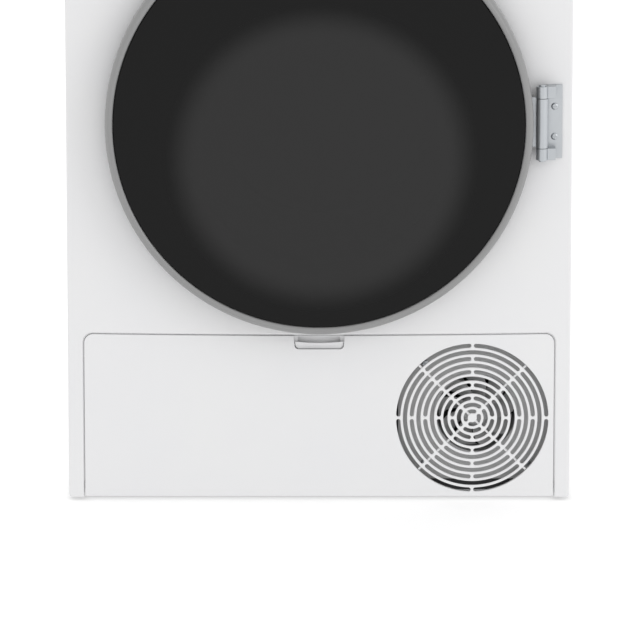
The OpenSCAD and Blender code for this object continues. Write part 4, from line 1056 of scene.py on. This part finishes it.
def cross_head():
    """One pan head facing -Y with its underside at the origin, cut by the two blades of a cross."""
    dome_profile = [(0, -head_h), (head_r - 1.4, -head_h + 0.1), (head_r, -0.7), (head_r, 0), (0, 0)]
    dome_mesh = turned(rounded_profile(dome_profile, [0, 1.2, 0.8, 0.2, 0]), 0, 0, 24)
    head = bpy.data.objects.new("screw_head", dome_mesh)
    blades = []
    for x, z in ((2.3, 0.45), (0.45, 2.3)):
        blade_mesh = block((-x, -head_h - 1, -z), (x, -head_h + 1.1, z))
        blades.append(bpy.data.objects.new("blade_tool", blade_mesh))
    for thing in [head, *blades]:
        bpy.context.scene.collection.objects.link(thing)
    for tool in blades:
        cut = head.modifiers.new("cross", "BOOLEAN")
        cut.operation = "DIFFERENCE"
        cut.object = tool
    mesh = as_evaluated(head)
    for thing in [head, *blades]:
        bpy.data.objects.remove(thing)
    return mesh


# A head on each point of a mesh, turned about Z by the angle given
heads_on_points, given = new_tree(
    "heads_on_points", ("Places", "NodeSocketGeometry", None), ("Head", "NodeSocketObject", None),
    ("Turn", "NodeSocketFloat", 0.0),
)
pattern_head = add_node(heads_on_points, "GeometryNodeObjectInfo", {"Object": given["Head"]})
turn_to = add_node(heads_on_points, "ShaderNodeCombineXYZ", {"Z": given["Turn"]})
heads = add_node(heads_on_points, "GeometryNodeInstanceOnPoints",
                 {"Points": given["Places"], "Instance": pattern_head.outputs["Geometry"],
                  "Rotation": turn_to.outputs["Vector"]})
close_tree(heads_on_points, heads.outputs["Instances"], zinc)

pattern = bpy.data.objects.new("pattern_head", cross_head())
bpy.context.scene.collection.objects.link(pattern)


def heads_at(places, turn):
    """Screw heads at the places given, in millimetres."""
    points = bpy.data.meshes.new("screw_places")
    points.from_pydata([Vector(p) * MM for p in places], [], [])
    return grown(heads_on_points, points, Head=pattern, Turn=turn)


rear_y = in_mm("rear_panel")[1].y
worktop_screws = [(x, rear_y, side_high.z - 8) for x in (-260, 0, 260)]
cover_angles = [math.radians(a) for a in range(15, 166, 30)]
cover_screws = [(264 * math.cos(a), rear_y + 1.2, drum_z + 264 * math.sin(a)) for a in cover_angles]
hinge_screws = [(262 + 15, panel_front - 3, door_z + dz) for dz in (-18, 18)]
fan_screws = [(fan_x + 61 * dx, fan_front, fan_z + 61 * dz) for dx in (-1, 1) for dz in (-1, 1)]
rear_heads = heads_at(worktop_screws + cover_screws, math.pi)
front_heads = heads_at(hinge_screws + fan_screws, 0.0)
piece_of("cross_head_screws", [rear_heads, front_heads], "cabinet", "zinc", zinc, "case_screws")
bpy.data.objects.remove(pattern)

# ---- Seals, felts, rollers and the rest ----
# Pieces that keep the frame's own solid, because they are soft, round or sealed away inside. Each
# takes the finish of its real material.
felt = surface("pressed_wool_felt", "#b9af9c", "#a79d8a", 0.9, 0.25, 0.9, 1.0)
finish_of = {
    "white_plastic": abs_white, "grey_plastic": grey_plastic, "dark_plastic": charcoal_plastic, "zinc": zinc,
    "copper": copper, "motor_steel": motor_steel, "rubber": rubber, "felt": felt,
    "circuit_board": board_green,
}
for part in frame["record"]["subparts"]:
    mesh = nodes[part["node"]].data
    mesh.materials.clear()
    mesh.materials.append(finish_of.get(part["material_slot"], grey_plastic))
